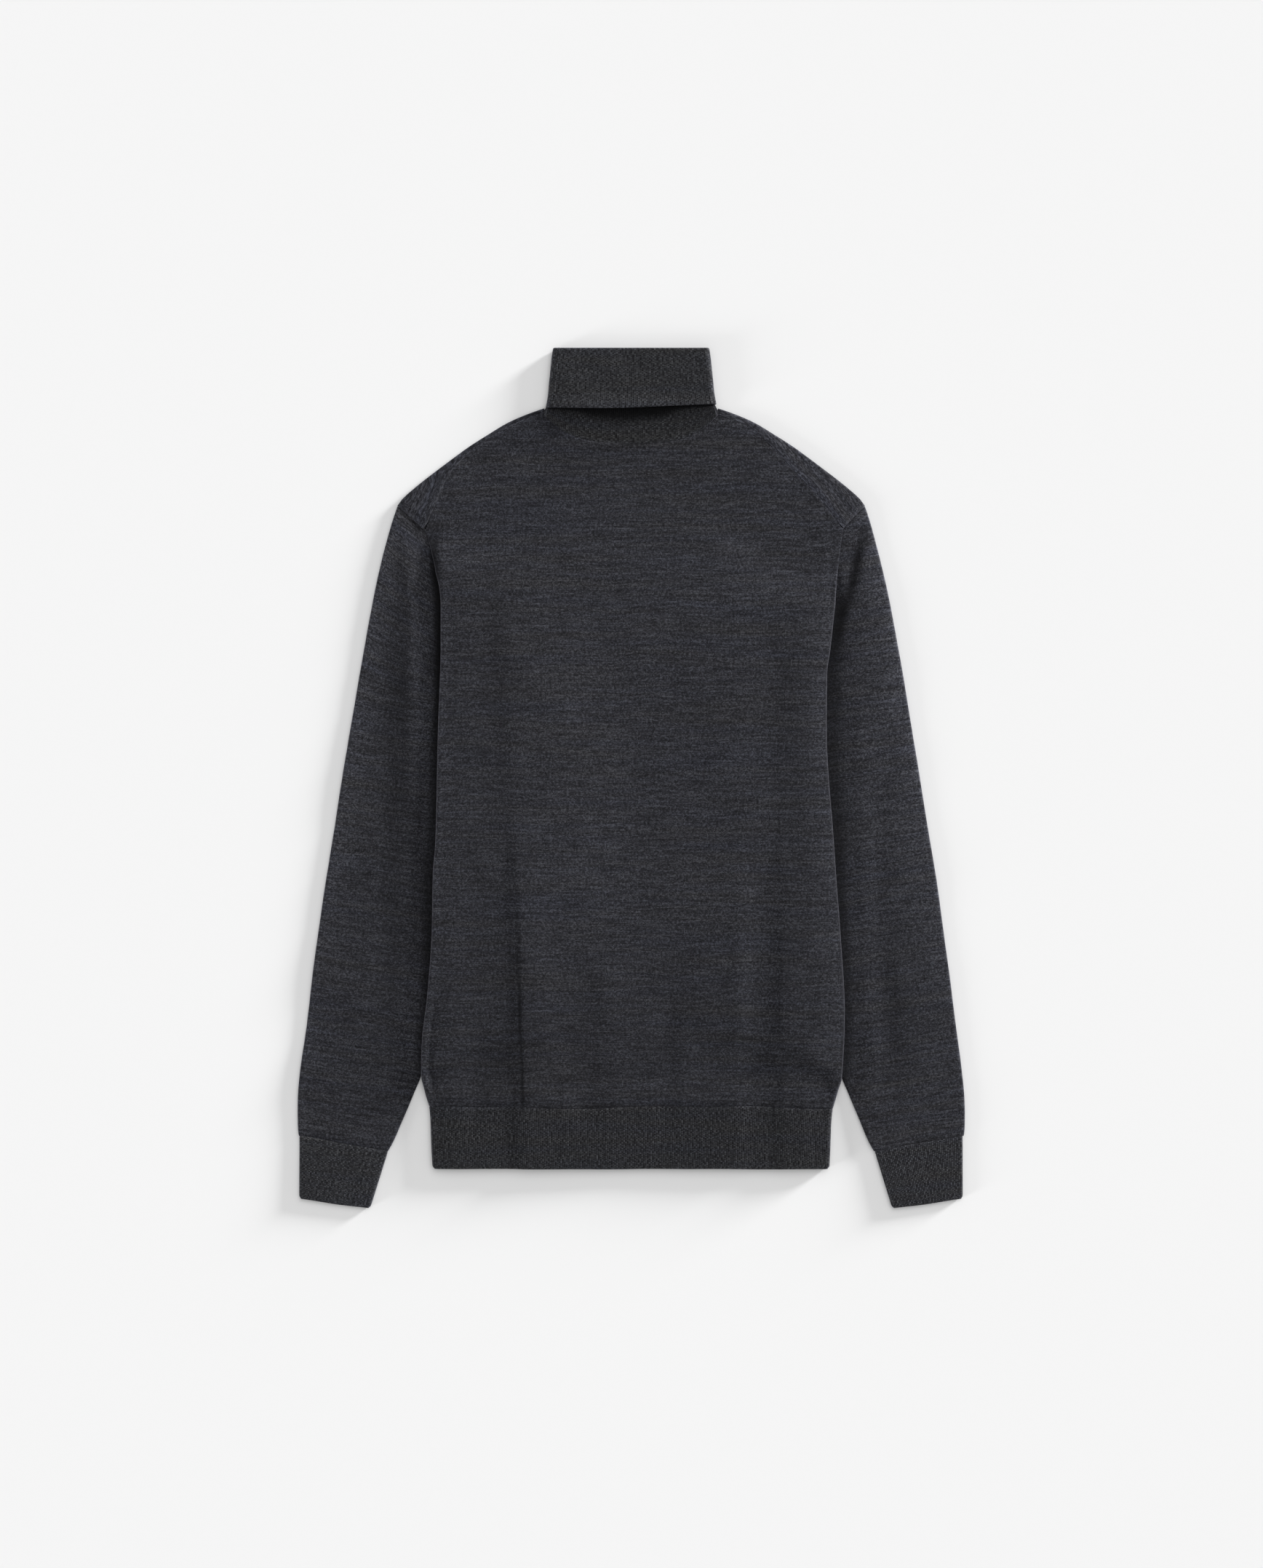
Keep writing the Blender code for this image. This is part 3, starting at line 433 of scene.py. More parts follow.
def armhole_edge(side, y):
    """The back's edge at the armhole: half width of its turn's axis, the turn's radius and its angle."""
    folded = below_armhole(side, side.corner[0], y)
    angle = mix(math.pi / 6.0, math.pi, folded ** 0.7)
    drop = mix(0.35, 3.0 * pitch(y), folded)
    radius = drop / (1.0 - np.cos(angle))
    visible = np.where(y > side.corner[1], side.armhole(y), side.fold(y))
    reach = np.sin(np.minimum(angle, math.pi / 2.0))
    return visible - (radius + JERSEY / 2.0) * reach, radius, angle


def ripples(x, y, seed, rise, shortest, longest, count=9):
    """The uneven lie of soft cloth: a few long waves that cross each other."""
    dice = np.random.default_rng(seed)
    total = 0.0
    for _ in range(count):
        way = dice.uniform(0.0, math.pi)
        length = dice.uniform(shortest, longest)
        start = dice.uniform(0.0, math.tau)
        along = x * math.cos(way) + y * math.sin(way)
        total = total + np.sin(math.tau * along / length + start)
    return total * rise / math.sqrt(count)


# --- Places ----------------------------------------------------------------------------------------

def points(x, y, z):
    """Places from their coordinates."""
    return np.stack(np.broadcast_arrays(x, y, z), axis=-1)


def steps(*runs):
    """Numbers from each run's start up to the next one's: rows of (start, how many), then the last number."""
    parts = [np.linspace(run[0], after[0], run[1], endpoint=False) for run, after in zip(runs, runs[1:])]
    return np.concatenate(parts + [np.array([runs[-1][0]], float)])


def hem_line(x):
    """Height of the seam between the panels and the hem rib: it wanders a little."""
    return HEM_SEAM + 1.0 * np.sin(x / 38.0) + 0.6 * np.sin(x / 17.0 + 1.0)


def arm_row(x):
    """Height of the row that runs through both armhole corners and both underarms."""
    t = (x + LEFT.underarm[0]) / (LEFT.underarm[0] + RIGHT.underarm[0])
    middle = mix(LEFT.underarm[1], RIGHT.underarm[1], t)
    outer = by_side(x, lambda side: armhole_line(side, np.abs(x)))
    return np.where((x < -LEFT.underarm[0]) | (x > RIGHT.underarm[0]), outer, middle)


def neckline(half, lowest, power):
    """Height of a neckline at a half width."""
    return lowest + (POINT[1] - lowest) * (np.minimum(half, POINT[0]) / POINT[0]) ** power


def top_line(x, lowest, power):
    """Height of a panel's top edge: a shoulder seam, the neckline, and the other shoulder seam."""
    half = np.abs(x)
    seam = by_side(x, lambda side: side.shoulder_seam(half))
    return np.where(half >= POINT[0], seam, neckline(half, lowest, power))


def column_place(column, left_y, right_y):
    """Place across the body of each column, from the heights at which its row meets the two sides."""
    places = (
        -armhole_edge(LEFT, left_y)[0],
        TUCK_INSET - LEFT.side_seam(left_y),
        TUCK_INSET - LEFT.side_seam(left_y) + RISE_OUT,
        RIGHT.side_seam(right_y) - TUCK_INSET - RISE_OUT,
        RIGHT.side_seam(right_y) - TUCK_INSET,
        armhole_edge(RIGHT, right_y)[0],
    )
    place = places[0]
    for i in range(len(STATIONS) - 1):
        share = np.clip((column - STATIONS[i]) / (STATIONS[i + 1] - STATIONS[i]), 0.0, 1.0)
        place = place + (places[i + 1] - places[i]) * share
    return place


def panel_plan(reach, column, lowest, power, gap):
    """Places in plan of a body panel. reach is 0 at the hem seam, 1 at the armhole row, 2 at the top edge."""
    low = np.clip(reach, 0.0, 1.0)[:, None]
    high = np.clip(reach - 1.0, 0.0, 1.0)[:, None]
    column = column[None, :]
    x0 = column_place(column, mix(HEM_SEAM, LEFT.corner[1], low), mix(HEM_SEAM, RIGHT.corner[1], low))
    y0 = mix(hem_line(x0) + SEAM_GAP / 2.0, arm_row(x0), low)
    x1 = np.interp(column, TOP_COLUMNS, TOP_PLACES)
    y1 = top_line(x1, lowest, power) - gap * (np.abs(x1) < POINT[0] + 1.0)
    x, y = mix(x0, x1, high), mix(y0, y1, high)
    straight_x, straight_y = x.copy(), y.copy()
    for side, at, end in ((LEFT, STATIONS[0], 0), (RIGHT, LAST_COLUMN, -1)):
        edge_y = mix(side.corner[1], side.join[1], high)
        edge_x = side.sign * armhole_edge(side, edge_y)[0]
        near = smooth(1.0 - np.abs(column - at) / STATIONS[1]) * smooth(high, 0.15)
        x = x + near * (edge_x - straight_x[:, end][:, None])
        y = y + near * (edge_y - straight_y[:, end][:, None])
    return x, y


def turned_edge(sign, x, y, high, radius, angle, cells):
    """The cloth's way round a side fold, from its lower end to just before the panel's own edge."""
    turn = mix(math.pi - angle, math.pi, np.arange(cells)[None, :] / cells)
    return points(x + sign * radius * np.sin(turn), y, high - radius - radius * np.cos(turn))


def tucked_side(side, x, y, above, cloth, cells):
    """The folded-under side, from the side seam out to the fold's axis."""
    place = mix(side.sign * side.side_seam(y), x, np.arange(cells)[None, :] / cells)
    across = armhole_line(side, np.abs(place)) - armhole_line(side, np.abs(x))
    up = y + across * smooth(y - 60.0, 100.0)
    return points(place, up, tuck_height(place, up, above, cloth))


def wrap_sides(main, above, cloth, turn_cells, tuck_cells):
    """Add to a panel's rows their way round both side folds and back beneath to the side seams."""
    parts = []
    for side, end, cells in ((LEFT, 0, tuck_cells[0]), (RIGHT, -1, tuck_cells[1])):
        x, y, high = (main[:, end, axis][:, None] for axis in range(3))
        low = tuck_height(x, y, above, cloth)
        radius, angle = (high - low) / 2.0, math.pi
        if above == 0.0 and cloth == JERSEY:
            yoke = y > side.corner[1]
            _, free_radius, free_angle = armhole_edge(side, y)
            radius = np.where(yoke, free_radius, radius)
            angle = np.where(yoke, free_angle, math.pi)
        turn = turned_edge(side.sign, x, y, high, radius, angle, turn_cells)
        parts.append(np.concatenate((tucked_side(side, x, y, above, cloth, cells), turn), axis=1))
    return np.concatenate((parts[0], main, parts[1][:, ::-1]), axis=1)


def unroll(places, first, last, along):
    """The cut: a point keeps its own place between two columns, and past them is paid out round the folds."""
    run = np.linalg.norm(np.diff(places, axis=1), axis=-1)
    u = along[0].copy()
    u[:, :first] = u[:, first][:, None] - np.cumsum(run[:, :first][:, ::-1], axis=1)[:, ::-1]
    u[:, last + 1:] = u[:, last][:, None] + np.cumsum(run[:, last:], axis=1)
    return np.stack((u, along[1]), axis=-1)


def push_out(places, amount, tube=False):
    """Move points off their surface by an amount, along its own normals."""
    across = np.gradient(places, axis=1)
    if tube:
        across[:, 0] = across[:, -1] = (places[:, 1] - places[:, -2]) / 2.0
    up = np.gradient(places, axis=0)
    normal = np.cross(across, up)
    normal /= np.maximum(np.linalg.norm(normal, axis=-1, keepdims=True), 1e-9)
    return places + normal * amount[..., None]


def rib_wave(columns, depth):
    """Knit wales stand out and purl wales lie back, four columns to each rib."""
    return np.cos(np.arange(columns) * math.pi / 2.0) * depth / 2.0


def raise_ribs(places, wave, from_seam, tube=False):
    """Lift the ribs off their surface by a wave across the columns, by half as much right at the seam."""
    return push_out(places, wave[None, :] * (0.5 + 0.5 * smooth(from_seam, 3.0)), tube)


def rib_flats(v):
    """Places in the flat rib, from each point's place along the ribs."""
    return np.stack((np.broadcast_to(np.arange(v.shape[1]) * RIB_PITCH / 4.0, v.shape), v), axis=-1)


def fold_inset(high, cloth):
    """How far in from its outline a tube's fold has its axis, from the height of its upper layer."""
    return (high - cloth / 2.0) / 2.0 + cloth / 2.0


# --- Cloth -----------------------------------------------------------------------------------------

def lay_cloth(name, places, flats, cloth, keep=None, tube=False, thin=None, second=None, tone_and_painted_light=1.0):
    """One sheet of cloth as a grid of rows and columns, its points at places.

    flats is each point's place in the flat knit, and second is (row, the same again) for the cloth past a
    row where the flat knit turns. keep says which points are part of the cut, thin how thick the wall is
    there, the last argument how much its colour is scaled for the piece's tone, painted shade and painted
    highlights, and a tube's last column is welded to its first.
    """
    rows, columns = places.shape[:2]
    wall = np.ones((rows, columns)) if thin is None else np.broadcast_to(thin, (rows, columns))
    places[..., 2] = np.maximum(places[..., 2], wall * cloth / 2.0)
    shape = bmesh.new()
    bmesh.ops.create_grid(shape, x_segments=columns - 1, y_segments=rows - 1, size=0.5)
    grid = Matrix.Diagonal((columns - 1.0, rows - 1.0, 1.0, 1.0)) @ Matrix.Translation((0.5, 0.5, 0.0))
    bmesh.ops.transform(shape, matrix=grid, verts=shape.verts)
    if keep is not None:
        spare = [face for face in shape.faces
                 if not all(keep[round(v.co.y), round(v.co.x)] for v in face.verts)]
        bmesh.ops.delete(shape, geom=spare, context="FACES")
    mesh = bpy.data.meshes.new(name)
    shape.to_mesh(mesh)
    shape.free()

    spots = np.empty(len(mesh.vertices) * 3, np.float32)
    mesh.vertices.foreach_get("co", spots)
    column, row = np.rint(spots.reshape(-1, 3)[:, :2]).astype(int).T
    corners = np.empty(len(mesh.loops), np.int32)
    mesh.loops.foreach_get("vertex_index", corners)
    flat = flats[row[corners], column[corners]]
    if second is not None:
        past = row[corners].reshape(-1, 4).min(axis=1).repeat(4) >= second[0]
        flat[past] = second[1][row[corners], column[corners]][past]
    layer = mesh.uv_layers.new(name=FLAT_MAP)
    layer.data.foreach_set("uv", (flat * MM).astype(np.float32).ravel())
    mesh.vertices.foreach_set("co", (places[row, column] * MM).astype(np.float32).ravel())
    for kind, values in ((WALL_GROUP, wall), (TONE_AND_PAINTED_LIGHT, np.broadcast_to(tone_and_painted_light, (rows, columns)))):
        spread = mesh.attributes.new(kind, "FLOAT", "POINT")
        spread.data.foreach_set("value", values[row, column].astype(np.float32))

    shape = bmesh.new()
    shape.from_mesh(mesh)
    if tube:
        bmesh.ops.remove_doubles(shape, verts=shape.verts, dist=1e-3 * MM)
    bmesh.ops.recalc_face_normals(shape, faces=shape.faces)
    shape.to_mesh(mesh)
    shape.free()
    piece = bpy.data.objects.new(name, mesh)
    bpy.context.scene.collection.objects.link(piece)
    weights = np.empty(len(mesh.vertices), np.float32)
    mesh.attributes[WALL_GROUP].data.foreach_get("value", weights)
    mesh.attributes.remove(mesh.attributes[WALL_GROUP])
    group = piece.vertex_groups.new(name=WALL_GROUP)
    for weight in np.unique(weights.round(3)):
        group.add(np.flatnonzero(weights.round(3) == weight).tolist(), float(weight), "REPLACE")
    solid = piece.modifiers.new("cloth", "SOLIDIFY")
    solid.thickness = cloth * MM
    solid.offset = 0.0
    solid.vertex_group = WALL_GROUP
    mesh.shade_smooth()
    return piece


def declare(piece, node, material):
    """Say what a finished piece stands for, what it was cut to and what it lies on."""
    piece.data.materials.append(material)
    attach(piece, "root")
    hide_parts(node)


# --- Finishes --------------------------------------------------------------------------------------

def linear(colour):
    """Linear colour of an sRGB hex value."""
    parts = [int(colour[i:i + 2], 16) / 255.0 for i in (1, 3, 5)]
    return tuple(c / 12.92 if c <= 0.04045 else ((c + 0.055) / 1.055) ** 2.4 for c in parts)


def add_node(tree, kind, links=(), **settings):
    """Add a shader node.

    Settings are its properties or, by name or number after input_, its inputs. Links are (input, other
    output), or (input, other node) for that node's first output.
    """
    node = tree.nodes.new("ShaderNode" + kind)
    for name, value in settings.items():
        if name.startswith("input_"):
            place = name[6:]
            node.inputs[int(place) if place.isdigit() else place].default_value = value
        else:
            setattr(node, name, value)
    for place, source in links:
        output = source.outputs[0] if isinstance(source, bpy.types.Node) else source
        tree.links.new(output, node.inputs[place])
    return node


def knit_material(name, dark, middle, light, wale, course, streak, rib, sheen):
    """Mélange merino: grey, blue-black and pale fibres carded together, then spun and knitted.

    Each course shows a run of darker or paler yarn, so the eye sees short level streaks. The fibre ends
    stand off the surface as a fine fuzz, which lifts the colour where the cloth curves away.
    """
    tone = RIB_TONE if rib else (1.0, 1.0, 1.0)
    material = bpy.data.materials.new(name)
    material.use_nodes = True
    tree = material.node_tree
    node = functools.partial(add_node, tree)
    shader = tree.nodes["Principled BSDF"]
    for socket, value in (("Roughness", 0.95), ("IOR", 1.45), ("Specular IOR Level", 0.12),
                          ("Sheen Weight", sheen), ("Sheen Roughness", 0.45),
                          ("Sheen Tint", (*linear("#9a9aa6"), 1.0))):
        shader.inputs[socket].default_value = value

    flat = node("UVMap", uv_map=FLAT_MAP)
    # The lie of the courses wanders a little, as it does in soft cloth.
    drift = node("TexNoise", [("Vector", flat)], noise_dimensions="2D", input_Scale=1.0 / (DRIFT_LENGTH * MM),
                 input_Detail=1.0)
    sway = node("Math", [(0, drift)], operation="MULTIPLY_ADD", input_1=DRIFT * MM,
                input_2=-DRIFT / 2.0 * MM)
    parts = node("SeparateXYZ", [(0, flat)])
    v = node("Math", [(0, parts.outputs[1]), (1, sway)], operation="ADD")
    course_at = node("Math", [(0, v)], operation="DIVIDE", input_1=course * MM)
    wale_at = node("Math", [(0, parts)], operation="DIVIDE", input_1=wale * MM)
    row = node("Math", [(0, course_at)], operation="FLOOR")

    # One yarn per course: pale and dark stretches of a few centimetres, and each course unlike the next.
    u_streak = node("Math", [(0, parts)], operation="DIVIDE", input_1=streak * MM)
    row_step = node("Math", [(0, row)], operation="MULTIPLY", input_1=1.73)
    streak_at = node("CombineXYZ", [(0, u_streak), (1, row_step)])
    yarn = node("TexNoise", [("Vector", streak_at)], noise_dimensions="2D", input_Scale=1.0,
                input_Detail=3.0, input_Roughness=0.6)

    # Two or three courses that share a tone.
    u_band = node("Math", [(0, parts)], operation="DIVIDE", input_1=streak * BAND_LENGTH * MM)
    v_band = node("Math", [(0, v)], operation="DIVIDE", input_1=BAND * MM)
    band_at = node("CombineXYZ", [(0, u_band), (1, v_band)])
    band = node("TexNoise", [("Vector", band_at)], noise_dimensions="2D", input_Scale=1.0, input_Detail=2.0)

    # Each stitch shows its own mix of pale and dark fibres, and so does each tuft of a few stitches.
    stitch = node("Math", [(0, wale_at)], operation="FLOOR")
    speck_at = node("CombineXYZ", [(0, stitch), (1, row)])
    speck = node("TexWhiteNoise", [("Vector", speck_at)], noise_dimensions="2D")
    tuft_at = node("CombineXYZ", [(0, parts), (1, v)])
    tuft = node("TexNoise", [("Vector", tuft_at)], noise_dimensions="2D", input_Scale=1.0 / (TUFT * MM),
                input_Detail=1.0)

    # A wale is a line of small Vs that lies back between one wale and the next, with painted shade there.
    wale_cell = node("Math", [(0, wale_at)], operation="FRACT")
    arm = node("Math", [(0, wale_cell)], operation="PINGPONG", input_1=0.5)
    crest = node("Math", [(0, arm)], operation="MULTIPLY", input_1=math.tau)
    crest = node("Math", [(0, crest)], operation="SINE")

    # The tone of the yarn: how far each of these takes it from dark to light.
    tones = [yarn, band, speck, tuft]
    shares = [YARN_SHARE, BAND_SHARE, SPECK_SHARE, TUFT_SHARE]
    if rib:
        next_stitch = node("Math", [(0, stitch)], operation="ADD", input_1=1.0)
        beside_at = node("CombineXYZ", [(0, next_stitch), (1, row)])
        tones.append(node("TexWhiteNoise", [("Vector", beside_at)], noise_dimensions="2D"))
        shares = [share * by for share, by in zip(shares, RIB_SHARES)] + [-BESIDE_SHARE]
    level = node("Math", [(0, yarn)], operation="MULTIPLY_ADD", input_1=shares[0],
                 input_2=0.5 - sum(shares) / 2.0 - CREST_SHADE_SHARE * 2.0 / math.pi)
    for part, share in zip(tones[1:] + [crest], shares[1:] + [CREST_SHADE_SHARE]):
        level = node("Math", [(0, part), (2, level)], operation="MULTIPLY_ADD", input_1=share)
    ramp = node("ValToRGB", [(0, level)])
    stops = ramp.color_ramp.elements
    stops.new(0.5)
    for stop, place, fibre in zip(stops, (0.0, 0.5, 1.0), (dark, middle, light)):
        stop.position = place
        stop.color = (*(c * t for c, t in zip(fibre, tone)), 1.0)

    # Faint cooler and warmer patches where the dye lots of the fibres vary.
    patch = node("TexNoise", [("Vector", band_at)], noise_dimensions="2D", input_Scale=0.23,
                 input_Detail=2.0)
    cast = node("Mix", [("Factor", patch)], data_type="RGBA", input_6=(*COOL_CAST, 1.0),
                input_7=(*WARM_CAST, 1.0))
    colour = node("Mix", [(6, ramp), (7, cast.outputs[2])], data_type="RGBA", blend_type="MULTIPLY",
                  clamp_result=False, input_Factor=1.0)
    # Each point's colour is scaled by its tone and by the painted shade and painted highlights laid on it.
    tone_and_painted_light = node("Attribute", attribute_name=TONE_AND_PAINTED_LIGHT)
    pressed = node("VectorMath", [(0, colour.outputs[2]), (3, tone_and_painted_light.outputs["Fac"])], operation="SCALE")
    tree.links.new(pressed.outputs[0], shader.inputs["Base Color"])

    # The arms of the Vs, the wales' crests and the fuzz over them.
    tilt = node("Math", [(0, arm), (2, course_at)], operation="MULTIPLY_ADD", input_1=-1.3)
    loops = node("Math", [(0, tilt)], operation="MULTIPLY", input_1=math.tau)
    loops = node("Math", [(0, loops)], operation="COSINE")
    knit = node("Math", [(0, loops), (2, crest)], operation="MULTIPLY_ADD", input_1=0.45)
    fuzz_at = node("CombineXYZ", [(0, wale_at), (1, course_at)])
    fuzz = node("TexNoise", [("Vector", fuzz_at)], noise_dimensions="2D", input_Scale=2.3, input_Detail=2.0)
    height = node("Math", [(0, fuzz), (2, knit)], operation="MULTIPLY_ADD", input_1=1.4)
    bump = node("Bump", [("Height", height)], input_Strength=0.5 if rib else 0.6,
                input_Distance=STITCH_DEPTH * MM)
    tree.links.new(bump.outputs[0], shader.inputs["Normal"])
    return material


def materials():
    """The two knits, made once and shared."""
    scene = bpy.context.scene
    yarn = scene.sweater_yarn
    streak = scene.sweater_sizes.streak / MM
    made = []
    for name, wale, length, rib in (("merino_plain_knit", WALE, streak, False),
                                    ("merino_rib_knit", RIB_PITCH, streak * RIB_STREAK, True)):
        made.append(bpy.data.materials.get(name) or knit_material(
            name, yarn.dark, yarn.middle, yarn.light, wale, COURSE, length, rib, yarn.sheen))
    return made


# --- Body ------------------------------------------------------------------------------------------

def gathers(wave, up, rise, run, roll, roll_at, roll_width, dip, dip_run):
    """Gathers where a wide piece is linked to a narrow rib, the roll that they make, and the seam's dip."""
    drawn = rise * wave * np.exp(-up / run) * smooth(up, 3.0)
    return drawn + roll * bell(up - roll_at, roll_width) - dip * fade(up, dip_run)


def hem_gathers(x, y):
    """The gathers above the hem rib, uneven across the back."""
    wave = np.sin(math.tau * x / 9.3 + 1.4 * np.sin(x / 23.0)) + 0.6 * np.sin(math.tau * x / 6.1 + 2.0)
    return gathers(wave, np.maximum(y - hem_line(x), 0.0), rise=0.20, run=11.0, roll=0.75, roll_at=9.0,
                   roll_width=8.0, dip=0.55, dip_run=2.2)


# The second turn beside the left fold: depth, how far out from the fold's axis, half width, and the heights
# between which it shows, each with the run of that end.
SECOND_TURN = (1.1, 6.0, 2.2)
SECOND_TURN_FROM, SECOND_TURN_TO = (-296.0, 20.0), (-195.0, 25.0)
# A narrow wedge beside the left armhole's corner, where the back dips: depth, half width at which it starts
# and its run, and the heights between which it shows.
WEDGE = (1.2, 174.5, 3.0)
WEDGE_FROM, WEDGE_TO = (170.0, 20.0), (240.0, 25.0)


def second_fold(x, y):
    """A narrow layer that shows beside the left fold near the hem: the cloth's second, lower turn."""
    depth, out, width = SECOND_TURN
    (low, low_run), (high, high_run) = SECOND_TURN_FROM, SECOND_TURN_TO
    outside = fold_centre(LEFT, y, JERSEY) + x
    rise = -depth * bell(outside - out, width) * smooth(high - y, high_run)
    return rise * smooth(y - low, low_run) * (x < 0.0)


def to_top(reach):
    """About how far each of a panel's rows is from its top edge."""
    return (2.0 - reach[:, None]) * YOKE_HEIGHT


def back_relief(x, y, reach):
    """The back's surface besides its folds: long ripples, gathers, and edges drawn down at the seams."""
    half = np.abs(x)
    flat = smooth(by_side(x, lambda side: side.fold(y)) - 12.0 - half, 30.0)
    long_waves = ripples(x, y, 11, 0.34, 70.0, 170.0) + ripples(x, y, 12, 0.10, 22.0, 50.0)
    edge = to_top(reach)
    at_neck = fade(half - 70.0, 15.0)
    drawn = -mix(0.1, 0.3, at_neck) * fade(edge, 2.0) + 0.12 * bell(edge - 4.0, 2.5)
    depth, start, run = WEDGE
    (low, low_run), (high, high_run) = WEDGE_FROM, WEDGE_TO
    wedge = -depth * smooth(-x - start, run) * smooth(high - y, high_run) * smooth(y - low, low_run)
    return long_waves * flat + hem_gathers(x, y) + drawn + second_fold(x, y) + wedge


# How light the shoulders are painted as the front's cloth comes over them, by half width: partly their own
# tone, and on the right a painted highlight where the light falls on them.
LEFT_STRIP_LIGHT = Line((90, 1), (190, 1.1))
RIGHT_STRIP_LIGHT = Line((90, 1.25), (150, 1.45), (182, 1.45), (200, 1.3))
SEAM_HIGHLIGHT = (0.5, 0.3)        # how much lighter each shoulder seam is painted: a painted highlight where its edges catch the light
NECK_NAP = 0.12              # how much darker the back is right below the neckline
# How much lighter the back is along the neckline's seam, by place across.
NECK_SEAM_NAP = Line((-66, 0), (-56, 0.4), (-34, 0.35), (-14, 0), (-4, -0.35), (12, -0.3),
                     (24, 0.2), (46, 0.3), (56, 0))
HEM_END_SHADE = 0.81           # painted shade: how dark the back is painted near its hem, against its middle
# Painted highlights on the body's side folds: how much lighter they are by height, how far in from the fold,
# half width. The last row is a painted shade along the right one's rim.
EDGE_PAINTED_LIGHT = (
    (LEFT, Line((-320, 0), (-280, 0.22), (130, 0.22), (170, 0)), 3.0, 3.5),
    (RIGHT, Line((-300, 0), (-250, 0.26), (190, 0.26), (230, 0)), 5.0, 5.0),
    (RIGHT, Line((-300, 0), (-250, -0.58), (175, -0.58), (215, 0)), 1.2, 1.2),
)
PANEL_CELLS = 186            # across a panel
TURN_CELLS = 8               # round each fold
TUCK_CELLS = (20, 14)        # across the left and the right tuck
PANEL_FROM = TUCK_CELLS[0] + TURN_CELLS         # first and last column of a wrapped panel itself
PANEL_TO = PANEL_FROM + PANEL_CELLS


def panel_columns():
    """The columns across a panel, as column_place counts them."""
    return np.linspace(0.0, LAST_COLUMN, PANEL_CELLS + 1)


def cut_of_panel(reach, turns):
    """Which points of a wrapped panel are cloth. Above the armhole row it has no tucks and, if turns is
    TURN_CELLS, no side folds either.
    """
    keep = np.ones((len(reach), PANEL_TO + 1 + TURN_CELLS + TUCK_CELLS[1]), bool)
    yoke = reach > 1.0 + 1e-9
    keep[yoke, :TUCK_CELLS[0] + turns] = False
    keep[yoke, -TUCK_CELLS[1] - turns:] = False
    return keep


def lay_back(material, cloth):
    """The back panel: uppermost, and turned under round both sides to the side seams."""
    reach = steps((0.0, 3), (0.0036, 2), (0.01, 152), (1.0, 44), (1.96, 5), (1.985, 4), (2.0, 0))
    x, y = panel_plan(reach, panel_columns(), NECK_BACK, NECK_CURVES[0], SEAM_GAP)
    main = points(x, y, back_height(x, y) + back_relief(x, y, reach))
    places = wrap_sides(main, 0.0, JERSEY, TURN_CELLS, TUCK_CELLS)
    flats = unroll(places, PANEL_FROM, PANEL_TO, (places[..., 0], places[..., 1]))
    thin = np.where(reach < 0.001, 0.55, np.where(reach > 1.999, 0.7, 1.0))[:, None]
    x, y = places[..., 0], places[..., 1]
    to_edge = to_top(reach)
    # Painted shade towards the hem, beside creases and on slopes; painted highlights on side folds and seams.
    tone_and_painted_light = mix(1.0, HEM_END_SHADE, smooth(-90.0 - y, 200.0))
    for side, lighter, inset, width in EDGE_PAINTED_LIGHT:
        tone_and_painted_light = tone_and_painted_light + lighter(y) * bell(side.fold(y) - inset - side.sign * x, width)
    tone_and_painted_light = tone_and_painted_light - NECK_NAP * np.exp(-to_edge / 16.0) * fade(np.abs(x) - 60.0, 40.0)
    tone_and_painted_light = tone_and_painted_light + NECK_SEAM_NAP(x) * bell(to_edge - 0.8, 0.8)
    along_seam = smooth(np.abs(x) - POINT[0] - 3.0, 12.0) * bell(to_edge, 1.5)
    tone_and_painted_light = tone_and_painted_light * (1.0 + np.where(x < 0.0, *SEAM_HIGHLIGHT) * along_seam) * (1.0 - relief(BACK_SHADE, x, y))
    piece = lay_cloth("knitted_back", places, flats, cloth, keep=cut_of_panel(reach, 0), thin=thin, tone_and_painted_light=tone_and_painted_light)
    declare(piece, "back", material)
    return piece


def shoulder_fold(side, share):
    """Points on the shoulder's outline and the way out from it, from the neck (0) to the armhole (1)."""
    half = mix(POINT[0] - 1.6, TIP[0], share)
    ahead = SHOULDER(half + 1.0) - SHOULDER(half - 1.0)
    normal = unit(np.stack((-ahead, np.full_like(ahead, 2.0)), axis=-1))
    normal = unit(mix(normal, TIP_WAY, smooth(share - 0.75, 0.25)[..., None]))
    return np.stack((side.sign * half, SHOULDER(half)), axis=-1), normal * side.way


